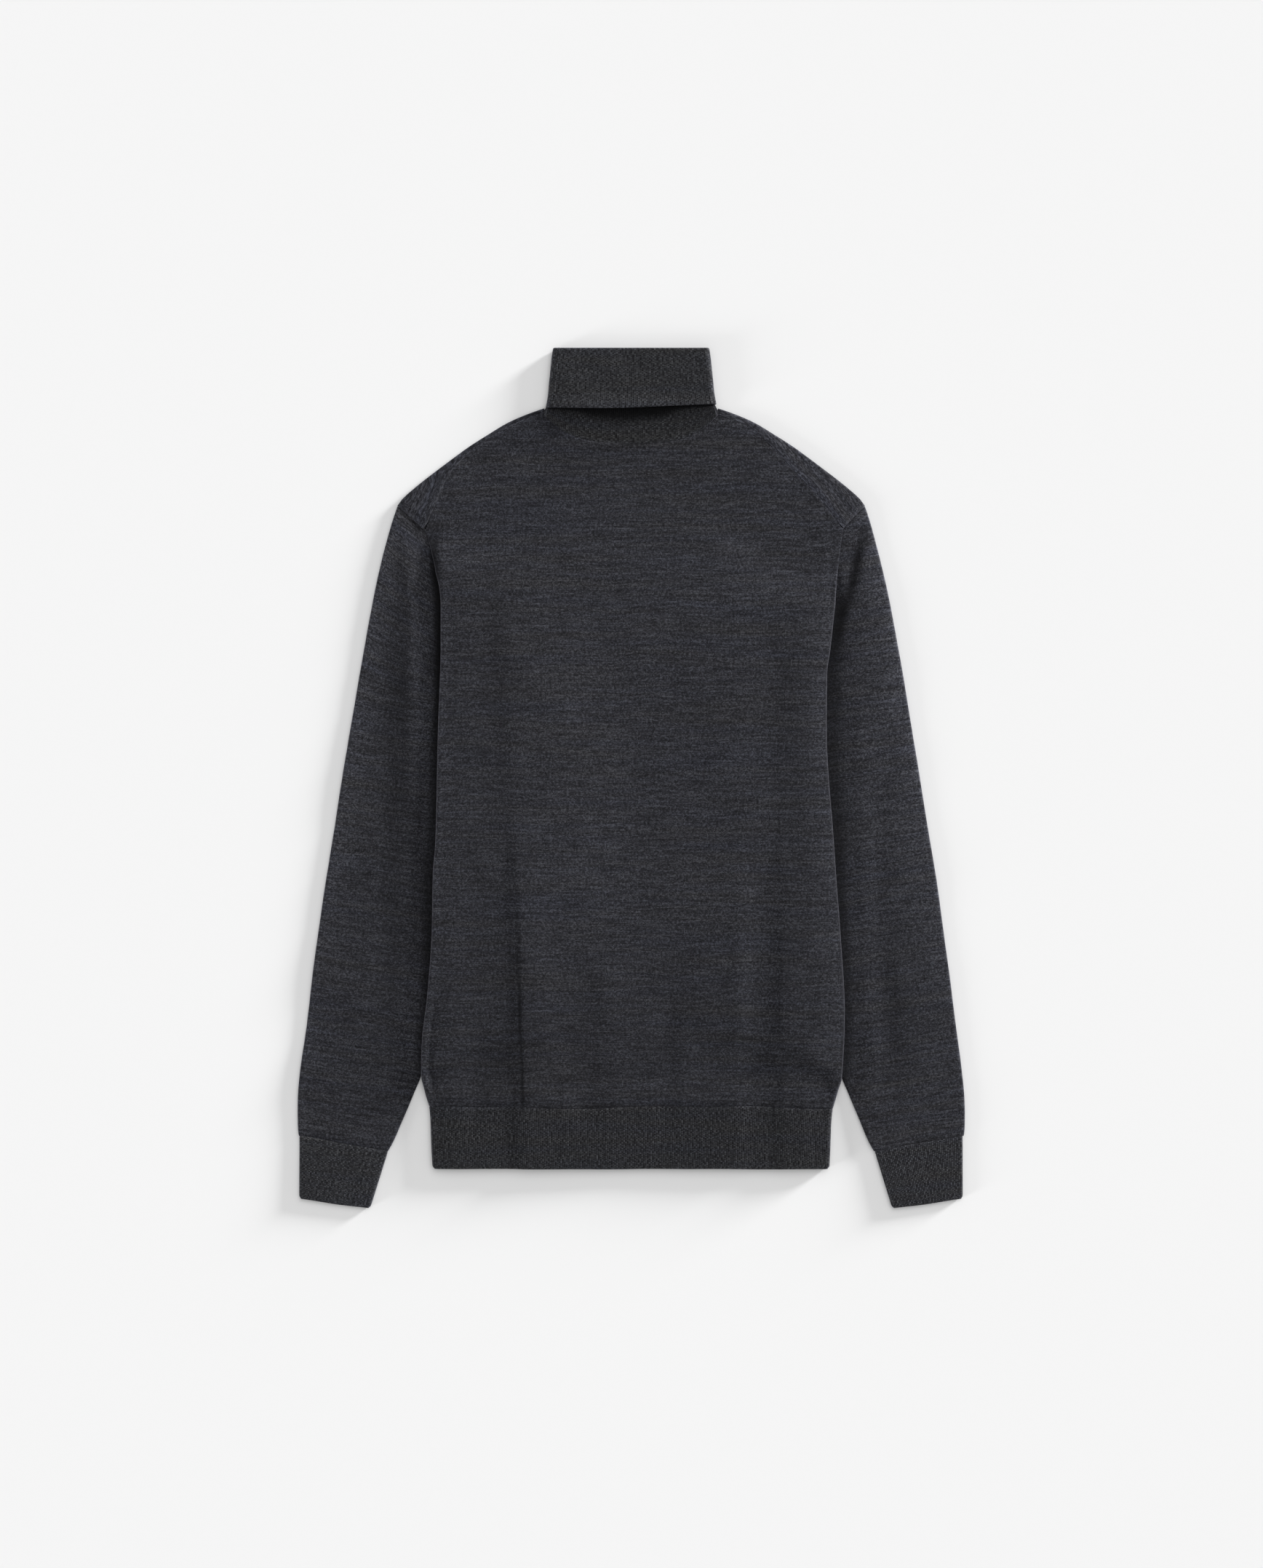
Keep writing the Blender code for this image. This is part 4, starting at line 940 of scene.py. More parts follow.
def shoulder_strips(column):
    """The front's way over both shoulders: out beneath to the fold, round it, and back to the seam.

    Gives rows of places, and where each point is in the flat knit. The wales meet the seam squarely.
    """
    x = np.interp(column, TOP_COLUMNS, TOP_PLACES)
    drawn_in = panel_plan(np.array([2.0]), column, NECK_BACK, NECK_CURVES[0], 0.0)[0][0] - x
    places, cut = [], []
    for side in (LEFT, RIGHT):
        half = np.clip(np.abs(x), POINT[0], side.join[0])
        share = (half - POINT[0]) / (side.join[0] - POINT[0])
        fold, out = shoulder_fold(side, share)
        at_tip = (SEAM_GAP * smooth(share - 0.96, 0.04))[:, None] * np.array((-side.sign, 0.0))
        fold = fold + at_tip * np.array((1.0, -1.0))
        seam = np.stack((side.sign * half, side.shoulder_seam(half)), axis=-1) + at_tip
        seam[:, 0] += drawn_in * fade(share - 0.93, 0.07)
        low = JERSEY / 2.0
        high = back_height(*seam.T)
        radius = (high - low) / 2.0
        axis = fold - out * (radius + JERSEY / 2.0)[:, None]
        back = axis - seam
        width = np.linalg.norm(back, axis=1, keepdims=True)
        back = back / width
        near_seam = seam + back * SEAM_GAP
        start = front_height(*seam.T)
        rows = []
        for t in np.linspace(0.0, 1.0, 9)[1:-1]:
            place = mix(seam, axis, t)
            rows.append(points(*place.T, mix(start, low, t)))
        for turn in np.linspace(0.0, math.pi, 9)[:-1]:
            place = axis + out * (radius * np.sin(turn))[:, None]
            rows.append(points(*place.T, low + radius - radius * np.cos(turn)))
        for t in steps((0.0, 16), (0.86, 4), (0.95, 5), (1.0, 0)):
            place = mix(axis, near_seam, t)
            to_seam = (1.0 - t) * width[:, 0]
            bump = 0.12 * bell(to_seam - 4.0, 2.5) - 0.1 * fade(to_seam, 2.0)
            bump = bump + 0.12 * ripples(*place.T, 31, 1.0, 18.0, 50.0) * smooth(t, 0.2)
            rows.append(points(*place.T, high + bump))
        rows = np.array(rows)
        rise = side.shoulder_seam(half + 0.5) - side.shoulder_seam(half - 0.5)
        ahead = unit(np.stack((np.ones_like(half), rise), axis=-1)) * side.way
        run = np.abs(np.interp(half, *seam_run(side)))
        legs = np.linalg.norm(np.diff(rows, axis=0), axis=-1)
        away = np.concatenate((np.cumsum(legs[::-1], axis=0)[::-1], np.zeros((1, len(half)))))
        lean = (back * ahead).sum(axis=1)
        u = (run + away * lean) * WALE / STRIP_WALE + STRIP_SHIFT
        v = away * np.sqrt(np.maximum(1.0 - lean ** 2, 0.0)) + STRIP_SHIFT * side.sign
        places.append(rows)
        cut.append(np.stack((u, v), axis=-1))
    left = (x < 0.0)[None, :, None]
    return np.where(left, places[0], places[1]), np.where(left, cut[0], cut[1])


def summed(legs):
    """How far along each point is, from the lengths between them."""
    return np.concatenate(([0.0], np.cumsum(legs)))


def seam_run(side):
    """Length along a shoulder seam from the neck, by half width."""
    half = np.linspace(POINT[0], side.join[0], 60)
    return half, summed(np.hypot(np.diff(half), np.diff(side.shoulder_seam(half))))


def lay_front(material, cloth):
    """The front panel: on the surface, with strips that come over the shoulders to the back."""
    reach = steps((0.0, 3), (0.0036, 2), (0.01, 84), (1.0, 30), (2.0, 0))
    column = panel_columns()
    x, y = panel_plan(reach, column, NECK_FRONT, NECK_CURVES[1], SEAM_GAP)
    z = front_height(x, y) - 0.3 * fade(y - hem_line(x), 2.2)
    places = wrap_sides(points(x, y, z), 1.0, JERSEY, TURN_CELLS, TUCK_CELLS)
    flats = unroll(places, PANEL_FROM, PANEL_TO, (places[..., 0], places[..., 1])) + FRONT_SHIFT

    # The strips that come over the shoulders follow in the same grid, past the panel's top edge.
    strip, strip_cut = shoulder_strips(column)
    rows, columns = len(strip), places.shape[1]
    panel = slice(PANEL_FROM, PANEL_TO + 1)
    more, more_flats = np.zeros((rows, columns, 3)), np.zeros((rows, columns, 2))
    more[:, panel], more_flats[:, panel] = strip, strip_cut
    more_keep = np.zeros((rows, columns), bool)
    more_keep[:, panel] = np.abs(x[-1])[None, :] >= POINT[0] - 0.01
    flats = np.concatenate((flats, more_flats))
    turned = flats.copy()
    turned[len(reach) - 1] = more_flats[0]
    thin = np.ones(len(flats))
    thin[0], thin[-1] = 0.55, 0.7
    out, left = np.abs(strip[..., 0]), strip[..., 0] < 0.0
    to_seam = np.linalg.norm(strip - strip[-1], axis=-1)
    tone_and_painted_light = np.ones((len(flats), columns))
    # The shoulder strips are painted lighter, partly for their tone and partly as a painted highlight.
    tone_and_painted_light[len(reach):, panel] = (np.where(left, LEFT_STRIP_LIGHT(out), RIGHT_STRIP_LIGHT(out))
                               * (1.0 + np.where(left, *SEAM_HIGHLIGHT) * bell(to_seam, 1.2)))
    piece = lay_cloth("knitted_front", np.concatenate((places, more)), flats, cloth,
                      keep=np.concatenate((cut_of_panel(reach, TURN_CELLS), more_keep)),
                      thin=thin[:, None], second=(len(reach) - 1, turned), tone_and_painted_light=tone_and_painted_light)
    declare(piece, "front", material)
    return piece


HEM_RIBS = (50, 5, 217, 5, 30)     # ribs of the hem: left tuck, left turn, main, right turn, right tuck
HEM_NAP = 0.885       # how light it looks
HEM_CORNER = 1.8      # how far its lower corners are rounded in


def lay_hem(panel, height, above, material, cloth, depth):
    """The hem rib of a panel, whose height and layers above the folded-under sides it shares."""
    share = steps((0.0, 3), (0.018, 3), (0.07, 13), (0.93, 3), (0.975, 3), (1.0, 0))[:, None]
    across = np.linspace(0.0, 1.0, 4 * HEM_RIBS[2] + 1)[None, :]
    level = mix(HEM_EDGE, HEM_SEAM, share)
    corner = HEM_CORNER * fade(share, 0.07) ** 2
    x = mix(corner - fold_centre(LEFT, level, RIB), fold_centre(RIGHT, level, RIB) - corner, across)
    bottom = HEM_EDGE + 0.16 * np.sin(x / 29.0) + 0.12 * np.sin(x / 11.0)
    y = mix(bottom, hem_line(x) - SEAM_GAP / 2.0, share)
    near_seam = hem_line(x) - y
    lie = ripples(x, y, 21, 0.16, 60.0, 150.0) * smooth(175.0 - np.abs(x), 25.0)
    z = height(x, y, RIB) + lie * (1.0 - above) - 0.35 * fade(near_seam, 2.0)
    places = wrap_sides(points(x, y, z), above, RIB, 4 * HEM_RIBS[1], (4 * HEM_RIBS[0], 4 * HEM_RIBS[4]))
    flats = rib_flats(places[..., 1]) + HEM_SHIFT * (1.0 + above)
    places = raise_ribs(places, rib_wave(places.shape[1], depth), near_seam[:, :1])
    edge = np.where(share < 0.003, 0.4, np.where(share < 0.009, 0.8, np.where(share > 0.999, 0.6, 1.0)))
    piece = lay_cloth(f"ribbed_hem_{panel}", places, flats, cloth, thin=edge, tone_and_painted_light=HEM_NAP)
    declare(piece, f"hem_{panel}", material)
    return piece


# --- Sleeves and cuffs -----------------------------------------------------------------------------

# A sleeve's edge is measured from 0 at the tip, and these are its join, the armhole's corner and its end.
JOIN_AT = 1.0
CORNER_AT = 8.0
SEAM_END = 12.0
ARMHOLE_SHADE = {-1: 0.2, 1: 0.45}     # how much darker a sleeve is right at the armhole seam
# How the courses slant where the sleeve is swung down, by height, about the sleeve's middle.
SLEEVE_SLANT = {-1: Line((60, 0), (115, 0.3), (165, 0.4), (213, 0.55)), 1: Line((0, 0))}
SLEEVE_MIDDLE = 233.0
# How light a sleeve is painted for the fall of light on it, the painted highlight its outer fold has more,
# and the painted shade in the crease beside the body and how far out it goes, all by height; then its
# painted shades.
SLEEVE_PAINTED_LIGHT = {
    -1: (
        Line((-260, 0.86), (-60, 0.88)),
        Line((-260, 0.11), (-160, 0.24), (-60, 0.36), (200, 0.4)),
        Line((-330, 0), (-247, 0.42), (-194, 0.55), (-140, 0.7), (-87, 0.62), (-34, 0.65),
             (20, 0.72), (73, 0.86), (110, 0.93), (180, 0.93), (205, 0.8), (228, 0)),
        Line((-250, 6), (-194, 7), (-140, 9), (-87, 10.5), (-34, 7), (20, 6.8),
             (73, 5), (110, 6.8), (170, 7), (200, 6)),
        LEFT_SHADE,
    ),
    1: (
        Line((-260, 0.94), (-60, 1.1)),
        Line((-260, 0.07), (-150, 0.2), (-30, 0.32), (20, 0.42), (80, 0.5), (180, 0.64),
             (230, 0.6)),
        Line((-330, 0), (-260, 0.55), (-194, 0.58), (-140, 0.62), (-87, 0.7), (-34, 0.68),
             (20, 0.63), (73, 0.67), (126, 0.79), (152, 0.79), (178, 0)),
        Line((-194, 8), (-140, 8.5), (-87, 10.5), (-34, 13), (20, 13), (73, 14),
             (126, 12), (170, 9)),
        RIGHT_SHADE,
    ),
}


def tube_rows(top, low, out_way, in_way, cells, skip):
    """A flattened tube: round the outer fold, over the top, round the inner fold, back beneath, and shut."""
    outer, inner = top[:, :1], top[:, -1:]
    parts = []
    for end, way, turn in ((outer, out_way, np.arange(cells) / cells),
                           (inner, in_way, 1.0 - (np.arange(cells) + 1.0) / cells)):
        turn = (turn * math.pi)[None, :]
        radius = (end[..., 2] - low) / 2.0
        parts.append(points(end[..., 0] + way[:, :1] * radius * np.sin(turn),
                            end[..., 1] + way[:, 1:] * radius * np.sin(turn),
                            low + radius - radius * np.cos(turn)))
    beneath = top[:, -2:0:-skip].copy()
    beneath[..., 2] = low
    return np.concatenate((parts[0], top, parts[1], beneath, parts[0][:, :1]), axis=1)


def past_body(side, half, y):
    """How far out from the body's fold a point of a sleeve is."""
    return half - side.fold(np.minimum(y, side.corner[1]))


def sleeve_rise(side, x, y):
    """Loft of the sleeve's upper layer: none beneath the body, full a little way out from it."""
    return LOFT * smooth(past_body(side, np.abs(x), y) - SLEEVE_FLAT, 25.0)


def sleeve_painted_light(side, places):
    """How light a sleeve is painted: painted highlights, painted shade in the crease beside the body, a
    darker armhole seam.
    """
    half, y = np.abs(places[..., 0]), places[..., 1]
    tone, rim_highlight, crease_shade, width, shade = SLEEVE_PAINTED_LIGHT[side.sign]
    clear = past_body(side, half, y)
    inside = SLEEVE_OUTER(y) - half
    tone_and_painted_light = tone(y) + rim_highlight(y) * bell(inside, 19.0) + 0.2 * bell(inside - 1.0, 3.0)
    tone_and_painted_light = tone_and_painted_light * (1.0 - crease_shade(y) * np.exp(-(np.maximum(clear, 0.0) / width(y)) ** 4))
    to_seam = np.linalg.norm(places[..., :2] - places[-1:, :, :2], axis=-1)
    tone_and_painted_light = tone_and_painted_light * (1.0 - ARMHOLE_SHADE[side.sign] * bell(to_seam - 0.5, 1.1))
    return tone_and_painted_light * (1.0 - relief(shade, half, y))


def armhole_places(side, k, tip, under):
    """Where the sleeve's edge runs: half width and height in plan, and the height of its upper layer."""
    y = mix(side.join[1], side.corner[1], np.clip((k - JOIN_AT) / (CORNER_AT - JOIN_AT), 0.0, 1.0))
    half, radius, angle = armhole_edge(side, y)
    folded = below_armhole(side, side.corner[0], y)
    drop = radius * (1.0 - np.cos(angle))
    z = back_height(side.sign * half, y) - drop
    z = z - (JERSEY + EASE) * (1.0 - np.cos(angle)) / 2.0 - 0.3 * np.sin(angle)
    beside = np.maximum(np.cos(angle), 0.0) * SEAM_GAP + 0.3 * np.sin(angle)
    x = half + radius * np.sin(angle) + beside + 0.1
    y = y - SEAM_GAP * folded
    out = np.clip(k / JOIN_AT, 0.0, 1.0)
    hidden = np.clip((k - CORNER_AT) / (SEAM_END - CORNER_AT), 0.0, 1.0)
    x, y, z = mix(tip[0], x, out), mix(tip[1], y, out), mix(SECOND_LAYER + LOFT, z, out)
    return mix(x, under[0], hidden), mix(y, under[1], hidden), z


def lay_sleeve(side, material, cloth):
    """A sleeve: a flattened tube from its cuff's seam to its armhole, partly beneath the body."""
    v = steps((0.0, 4), (0.006, 2), (0.012, 150), (0.93, 22), (0.985, 6), (1.0, 0))[:, None]
    k = steps((0.0, 10), (JOIN_AT, 30), (CORNER_AT, 22), (SEAM_END, 0))[None, :]
    outer_y, inner_y = mix(CUFF_OUT[1], TIP[1], v), mix(CUFF_IN[1], side.underarm[1], v)
    outer = np.concatenate((SLEEVE_OUTER(outer_y), outer_y), axis=1)
    inner = np.concatenate((SLEEVE_INNER(inner_y), inner_y), axis=1)
    down = unit(CUFF_OUT - TIP)
    across = np.array((-down[1], down[0]))
    cuff_way = unit(CUFF_OUT - CUFF_IN)
    out_way = mix(cuff_way, across, smooth(v, 0.2))
    out_way = unit(mix(out_way, TIP_WAY, smooth(v - 0.85, 0.15)))
    in_way = unit(mix(-cuff_way, -UNDER_WAY, smooth(v, 0.3)))
    out_high = SECOND_LAYER + np.maximum(sleeve_rise(side, outer[:, :1], outer[:, 1:]), TIP_RISE)
    in_high = SECOND_LAYER + sleeve_rise(side, inner[:, :1], inner[:, 1:])
    outer = outer - out_way * fold_inset(out_high, JERSEY)
    inner = inner - in_way * fold_inset(in_high, JERSEY)
    tip = TIP - TIP_WAY * fold_inset(SECOND_LAYER + LOFT, JERSEY)
    under = np.array(side.underarm) + unit(UNDER_WAY) * (JERSEY + EASE / 2.0)
    seam_x, seam_y, seam_z = armhole_places(side, k, tip, under)
    w = k / SEAM_END
    at_top = smooth(v - 0.97, 0.03)
    x = mix(outer[:, :1], inner[:, :1], w) + (seam_x - mix(tip[0], under[0], w)) * v ** 2.0
    y = mix(outer[:, 1:], inner[:, 1:], w) + (seam_y - mix(tip[1], under[1], w)) * v ** 2.0
    x, y = mix(x, seam_x, at_top), mix(y, seam_y, at_top)
    rise = sleeve_rise(side, x, y)
    rise = mix(rise, np.maximum(rise, TIP_RISE), smooth(1.0 - k / 1.5))
    z = mix(SECOND_LAYER + rise, seam_z, smooth(v - SLEEVE_BLEND, 1.0 - SLEEVE_BLEND))
    out = past_body(side, x, y)
    folds = relief(side.sleeve_folds, x, y) * smooth(out - SLEEVE_FLAT, 10.0) * smooth(1.0 - v, 0.04)
    z = np.maximum(z + folds, np.minimum(z, SECOND_LAYER))
    clear = smooth(out - 14.0, 20.0) * smooth(1.0 - v, 0.04)
    waves = ripples(x, y, 40 + side.sign, 0.30, 50.0, 140.0) + ripples(x, y, 50 + side.sign, 0.08, 18.0, 40.0)
    z = z + clear * waves
    to_cuff, to_armhole = v * SLEEVE_LENGTH, (1.0 - v) * SLEEVE_LENGTH
    z = z + gathers(np.sin(math.tau * x / 7.3), to_cuff, rise=0.14, run=9.0, roll=0.5, roll_at=8.0,
                    roll_width=7.0, dip=0.4, dip_run=2.0)
    z = z - 0.35 * fade(to_armhole, 2.0) * clear
    shut = (1.0 - v) * SEAM_GAP * 0.8
    top = points(side.sign * x, y + shut, z)
    places = tube_rows(top, JERSEY / 2.0, out_way * side.way, in_way * side.way, TURN_CELLS, 2)
    plan = places[..., :2] * side.way
    along = (plan * across).sum(axis=-1)
    slant = SLEEVE_SLANT[side.sign](places[..., 1]) * (SLEEVE_MIDDLE - along)
    along = (along, slant - (plan * down).sum(axis=-1))
    flats = unroll(places, TURN_CELLS, TURN_CELLS + k.shape[1] - 1, along)
    flats = flats + SLEEVE_SHIFT[0] + SLEEVE_SHIFT[1] * side.sign
    thin = np.where((v < 0.001) | (v > 0.999), 0.6, 1.0)
    piece = lay_cloth(f"knitted_sleeve_{side.name}", places, flats, cloth, tube=True, thin=thin,
                      tone_and_painted_light=sleeve_painted_light(side, places))
    declare(piece, f"sleeve_{side.name}", material)
    return piece


CUFF_RIBS = (44, 3)     # ribs across the top of a cuff, and round each of its folds
CUFF_NAP = 1.1          # how light it looks


def lay_cuff(side, material, cloth, depth):
    """A cuff: a flattened tube of rib that narrows to its free end."""
    share = steps((0.0, 3), (0.025, 3), (0.07, 13), (0.93, 3), (0.98, 3), (1.0, 0))[:, None]
    outer, inner = mix(CUFF_OUT, CUFF_END_OUT, share), mix(CUFF_IN, CUFF_END_IN, share)
    way = unit(outer - inner)
    high = RIB * 1.5 + EASE + mix(LOFT * 0.7, LOFT, share)
    corner = 1.4 * smooth(share - 0.93, 0.07) ** 2
    inset = fold_inset(high, RIB) + corner
    outer, inner = outer - way * inset, inner + way * inset
    w = np.linspace(0.0, 1.0, 4 * CUFF_RIBS[0] + 1)[None, :]
    x, y = mix(outer[:, :1], inner[:, :1], w), mix(outer[:, 1:], inner[:, 1:], w)
    y = y - SEAM_GAP * 0.8 * (1.0 - share) + 0.3 * np.sin(x / 9.0) * share
    to_seam = share * CUFF_LENGTH
    z = high + ripples(x, y, 60 + side.sign, 0.14, 35.0, 90.0) - 0.3 * fade(to_seam, 2.0)
    top = points(side.sign * x, y, z)
    places = tube_rows(top, RIB / 2.0, way * side.way, -way * side.way, 4 * CUFF_RIBS[1], 1)
    along = unit(CUFF_END_OUT + CUFF_END_IN - CUFF_OUT - CUFF_IN) * side.way
    flats = rib_flats(-(places[..., :2] * along).sum(axis=-1)) + CUFF_SHIFT[0] + CUFF_SHIFT[1] * side.sign
    places = raise_ribs(places, rib_wave(places.shape[1], depth), to_seam, tube=True)
    edge = np.where(share > 0.999, 0.4, np.where(share > 0.99, 0.8, np.where(share < 0.001, 0.6, 1.0)))
    piece = lay_cloth(f"ribbed_cuff_{side.name}", places, flats, cloth, tube=True, thin=edge, tone_and_painted_light=CUFF_NAP)
    declare(piece, f"cuff_{side.name}", material)
    return piece


# --- Collar ----------------------------------------------------------------------------------------

COLLAR_RIBS = (82, 6)     # ribs across the collar's back, and round each of its ends
COLLAR_NAP = 1.08         # how light it looks
# By place across: the height of the turned edge, and how far below it the stand gets no light.
TURNED_LINE = Line((-76, 339), (-25, 338.3), (40, 340.6), (78, 342.3))
TURN_SHADE = Line((-76, 1.5), (-52, 3.5), (-32, 9), (-5, 12), (22, 11.5), (48, 3.5),
                  (78, 1.5))


def seam_spread(lowest, power, reach, count):
    """Places across for ribs that leave a neckline evenly spaced along its curve."""
    x = np.linspace(-reach, reach, 801)
    y = neckline(np.abs(x), lowest, power)
    run = summed(np.hypot(np.diff(x), np.diff(y)))
    return np.interp(np.linspace(0.0, run[-1], count), run, x)


def stand_rise(half, y, low, high):
    """Height of the stand's lower wall, which comes up off the surface as it leaves the neckline."""
    start = mix(STAND_RISE[0], POINT[1], (half / SEAM_HALF) ** 2)
    return mix(low, high, smooth(y - start, STAND_RISE[1] - start))


def near_point(half):
    """1 at a shoulder point, easing to 0 along the neckline."""
    return smooth(half - 63.0, 12.0)


def lay_collar(material, cloth, depth):
    """The collar: a tube of rib that stands up from the neckline and is turned down outside."""
    layer = RIB + EASE
    turn_low = RIB / 2.0 + 0.05
    stand_low = turn_low + layer
    stand_high = stand_low + layer + COLLAR_LOFT
    turn_high = stand_high + layer
    seam_high = SECOND_LAYER + LOFT
    cells = 4 * COLLAR_RIBS[0]
    f = np.linspace(-1.0, 1.0, cells + 1)
    ends = np.linspace(0.0, math.pi, 4 * COLLAR_RIBS[1] + 1)[1:-1]

    def ring(centre, radius, end_y, middle, upper, lower):
        """One section: the upper wall, round the right end, the lower wall and round the left end."""
        right = points(centre + radius * np.sin(ends), end_y, middle + radius * np.cos(ends))
        left = points(-centre - radius * np.sin(ends), end_y, middle - radius * np.cos(ends))
        return np.concatenate((upper, right, lower[::-1], left, upper[:1]))

    # The stand from its seam, where it follows both necklines, to where it is straight.
    rows = []
    straight_y = TURN_EDGE + 3.0
    straight_half = COLLAR_HALF(straight_y) - layer
    start_centre = SEAM_HALF - (seam_high - turn_low - 0.25) / 2.0
    over = seam_spread(NECK_BACK, NECK_CURVES[0], start_centre, cells + 1)
    under = seam_spread(NECK_FRONT, NECK_CURVES[1], start_centre, cells + 1)
    over_y = neckline(np.abs(over), NECK_BACK, NECK_CURVES[0]) + SEAM_GAP * 0.8
    over_y = over_y + 0.5 * near_point(np.abs(over))
    under_y = neckline(np.abs(under), NECK_FRONT, NECK_CURVES[1]) + SEAM_GAP / 2.0
    under_y = under_y + 0.9 * near_point(np.abs(under))
    for s in steps((0.0, 3), (0.04, 3), (0.1, 18), (1.0, 0)):
        high = mix(seam_high, stand_high, smooth(s, 0.5))
        half = mix(POINT[0] - 0.4, straight_half, s) + 0.9 * fade(s - 0.2, 0.6)
        end_y = mix(POINT[1] + SEAM_GAP - 0.5, straight_y, s)
        near_seam = fade(s, 0.1)
        low = stand_rise(half, end_y, turn_low, stand_low) + 0.25 * near_seam
        radius = (high - low) / 2.0
        centre = half - radius
        dip = 0.35 * fade(s * STAND_LENGTH, 2.0)
        x, y = mix(over, centre * f, s), mix(over_y, straight_y, s)
        upper = points(x, y, high - dip * (1.0 - near_point(np.abs(x))))
        x, y = mix(under, centre * f, s), mix(under_y, straight_y, s)
        lift = 0.25 * near_point(np.abs(x)) * near_seam
        lower = points(x, y, stand_rise(np.abs(x), y, turn_low, stand_low) + lift)
        rows.append(ring(centre, radius, end_y, low + radius, upper, lower))
    shaded = len(rows) - 1 + COLLAR_STEPS

    # Its straight part, the fold and the turned-down part: height, half width, lower and upper wall.
    base = COLLAR_TOP - COLLAR_BEND - RIB / 2.0
    level = [(y, COLLAR_HALF(y) - layer, stand_low, stand_high)
             for y in np.linspace(straight_y + 3.0, base, COLLAR_STEPS + 1)[:-1]]
    for turn in np.linspace(0.0, math.pi, COLLAR_STEPS):
        room = COLLAR_BEND * (1.0 + math.cos(turn))
        top = base + COLLAR_BEND * math.sin(turn)
        level.append((top, COLLAR_HALF(base) - room, turn_low + room, turn_high - room))
    for y in steps((base, 13), (TURN_EDGE + 3.0, 2), (TURN_EDGE + 1.0, 4), (TURN_EDGE, 0))[1:]:
        level.append((y, COLLAR_HALF(y), turn_low, turn_high))
    for i, (y, half, low, high) in enumerate(level):
        radius = (high - low) / 2.0
        centre = half - radius
        x = centre * f
        turned = float(i >= 2 * COLLAR_STEPS)
        hang = turned * (base - y) / (base - TURN_EDGE)
        wander = (TURNED_LINE(x) - TURN_EDGE) * hang ** 2
        stand_off = 2.3 * smooth(354.0 - y, 14.0) * (1.0 - (np.abs(x) / 80.0) ** 4) * turned
        lie = ripples(x, np.full_like(x, y), 70, 0.2, 40.0, 110.0) * smooth(base - y, 12.0) * turned
        upper = points(x, y + wander, high + stand_off + lie)
        lower = points(x, y + wander, low)
        section = ring(centre, radius, y, low + radius, upper, lower)
        section[cells + 1:cells + 1 + len(ends), 1] += wander[-1]
        section[-1 - len(ends):-1, 1] += wander[0]
        rows.append(section)

    places = np.array(rows)
    columns = places.shape[1]
    legs = np.linalg.norm(np.diff(places[:, cells // 2], axis=0), axis=-1)
    v = summed(legs)[:, None] + np.zeros((1, columns))
    flats = rib_flats(v) + COLLAR_SHIFT
    wave = rib_wave(columns, depth)
    # The collar's closing seam runs down between two ribs near its left edge.
    wave[3:8] = np.array((0.25, -0.1, -0.65, -0.1, 0.3)) * depth
    places = raise_ribs(places, wave, v, tube=True)
    thin = np.ones((len(rows), 1))
    thin[0] = 0.6
    thin[-3:, 0] = (0.9, 0.75, 0.4)
    x, y = places[..., 0], places[..., 1]
    # Painted shadow on the stand below the turned edge, and a painted highlight along the collar's ends above
    # it.
    below = TURNED_LINE(x) - y
    dark = 1.0 - 0.9 * np.exp(-(np.maximum(below, 0.0) / TURN_SHADE(x)) ** 4)
    shade = dark * mix(0.52, 1.02, smooth(below, 30.0))
    ends_light = 1.0 + 0.3 * bell(COLLAR_HALF(y) - np.abs(x), 1.8) * smooth(y - STAND_RISE[1], 4.0)
    tone_and_painted_light = COLLAR_NAP * np.where((np.arange(len(rows)) < shaded)[:, None], shade, ends_light)
    piece = lay_cloth("ribbed_collar", places, flats, cloth, tube=True, thin=thin, tone_and_painted_light=tone_and_painted_light)
    declare(piece, "collar", material)
    return piece


# --- Sizes and colours -----------------------------------------------------------------------------

def length(name, description, default, low, high):
    return bpy.props.FloatProperty(name=name, description=description, default=default * MM, min=low * MM,
                                   max=high * MM, unit="LENGTH", subtype="DISTANCE")


def fibre(name, description, colour):
    return bpy.props.FloatVectorProperty(name=name, description=description, default=linear(colour),
                                         min=0.0, max=1.0, size=3, subtype="COLOR")


class SweaterSizes(bpy.types.PropertyGroup):
    """Sizes of the knit that can be changed without changing the garment's cut"""
    jersey: length("Plain Knit", "Thickness of the plain knit's wall", 1.0, 0.6, JERSEY)
    rib: length("Rib", "Thickness of the ribbed knit's wall, without its ribs", 0.95, 0.6, 1.0)
    rib_depth: length("Rib Depth", "How far the knit wales stand above the purl wales", 0.34, 0.0, 0.55)
    streak: length("Streak", "Usual length of a paler or darker stretch of yarn", 23.0, 2.0, 60.0)


class SweaterYarn(bpy.types.PropertyGroup):
    """Colours of the fibres in the melange yarn"""
    dark: fibre("Dark Fibre", "Blue-black fibre of the yarn", "#0c0c0e")
    middle: fibre("Charcoal Fibre", "Charcoal fibre, most of the yarn", "#252529")
    light: fibre("Pale Fibre", "Pale grey fibre of the yarn", "#46474d")
    sheen: bpy.props.FloatProperty(
        name="Fuzz", description="How much the fibre ends lift the colour where the cloth curves away",
        default=0.6, min=0.0, max=1.0, subtype="FACTOR")


class SWEATER_OT_front(bpy.types.Operator):
    """Lay the front panel face down, with its shoulders brought over onto the back"""
    bl_idname = "sweater.front"
    bl_label = "Front"
    bl_options = {"REGISTER", "UNDO"}

    def execute(self, context):
        lay_front(materials()[0], context.scene.sweater_sizes.jersey / MM)
        return {"FINISHED"}


class SWEATER_OT_back(bpy.types.Operator):
    """Lay the back panel over the front, its sides turned under to the side seams"""
    bl_idname = "sweater.back"
    bl_label = "Back"
    bl_options = {"REGISTER", "UNDO"}

    def execute(self, context):
        lay_back(materials()[0], context.scene.sweater_sizes.jersey / MM)
        return {"FINISHED"}


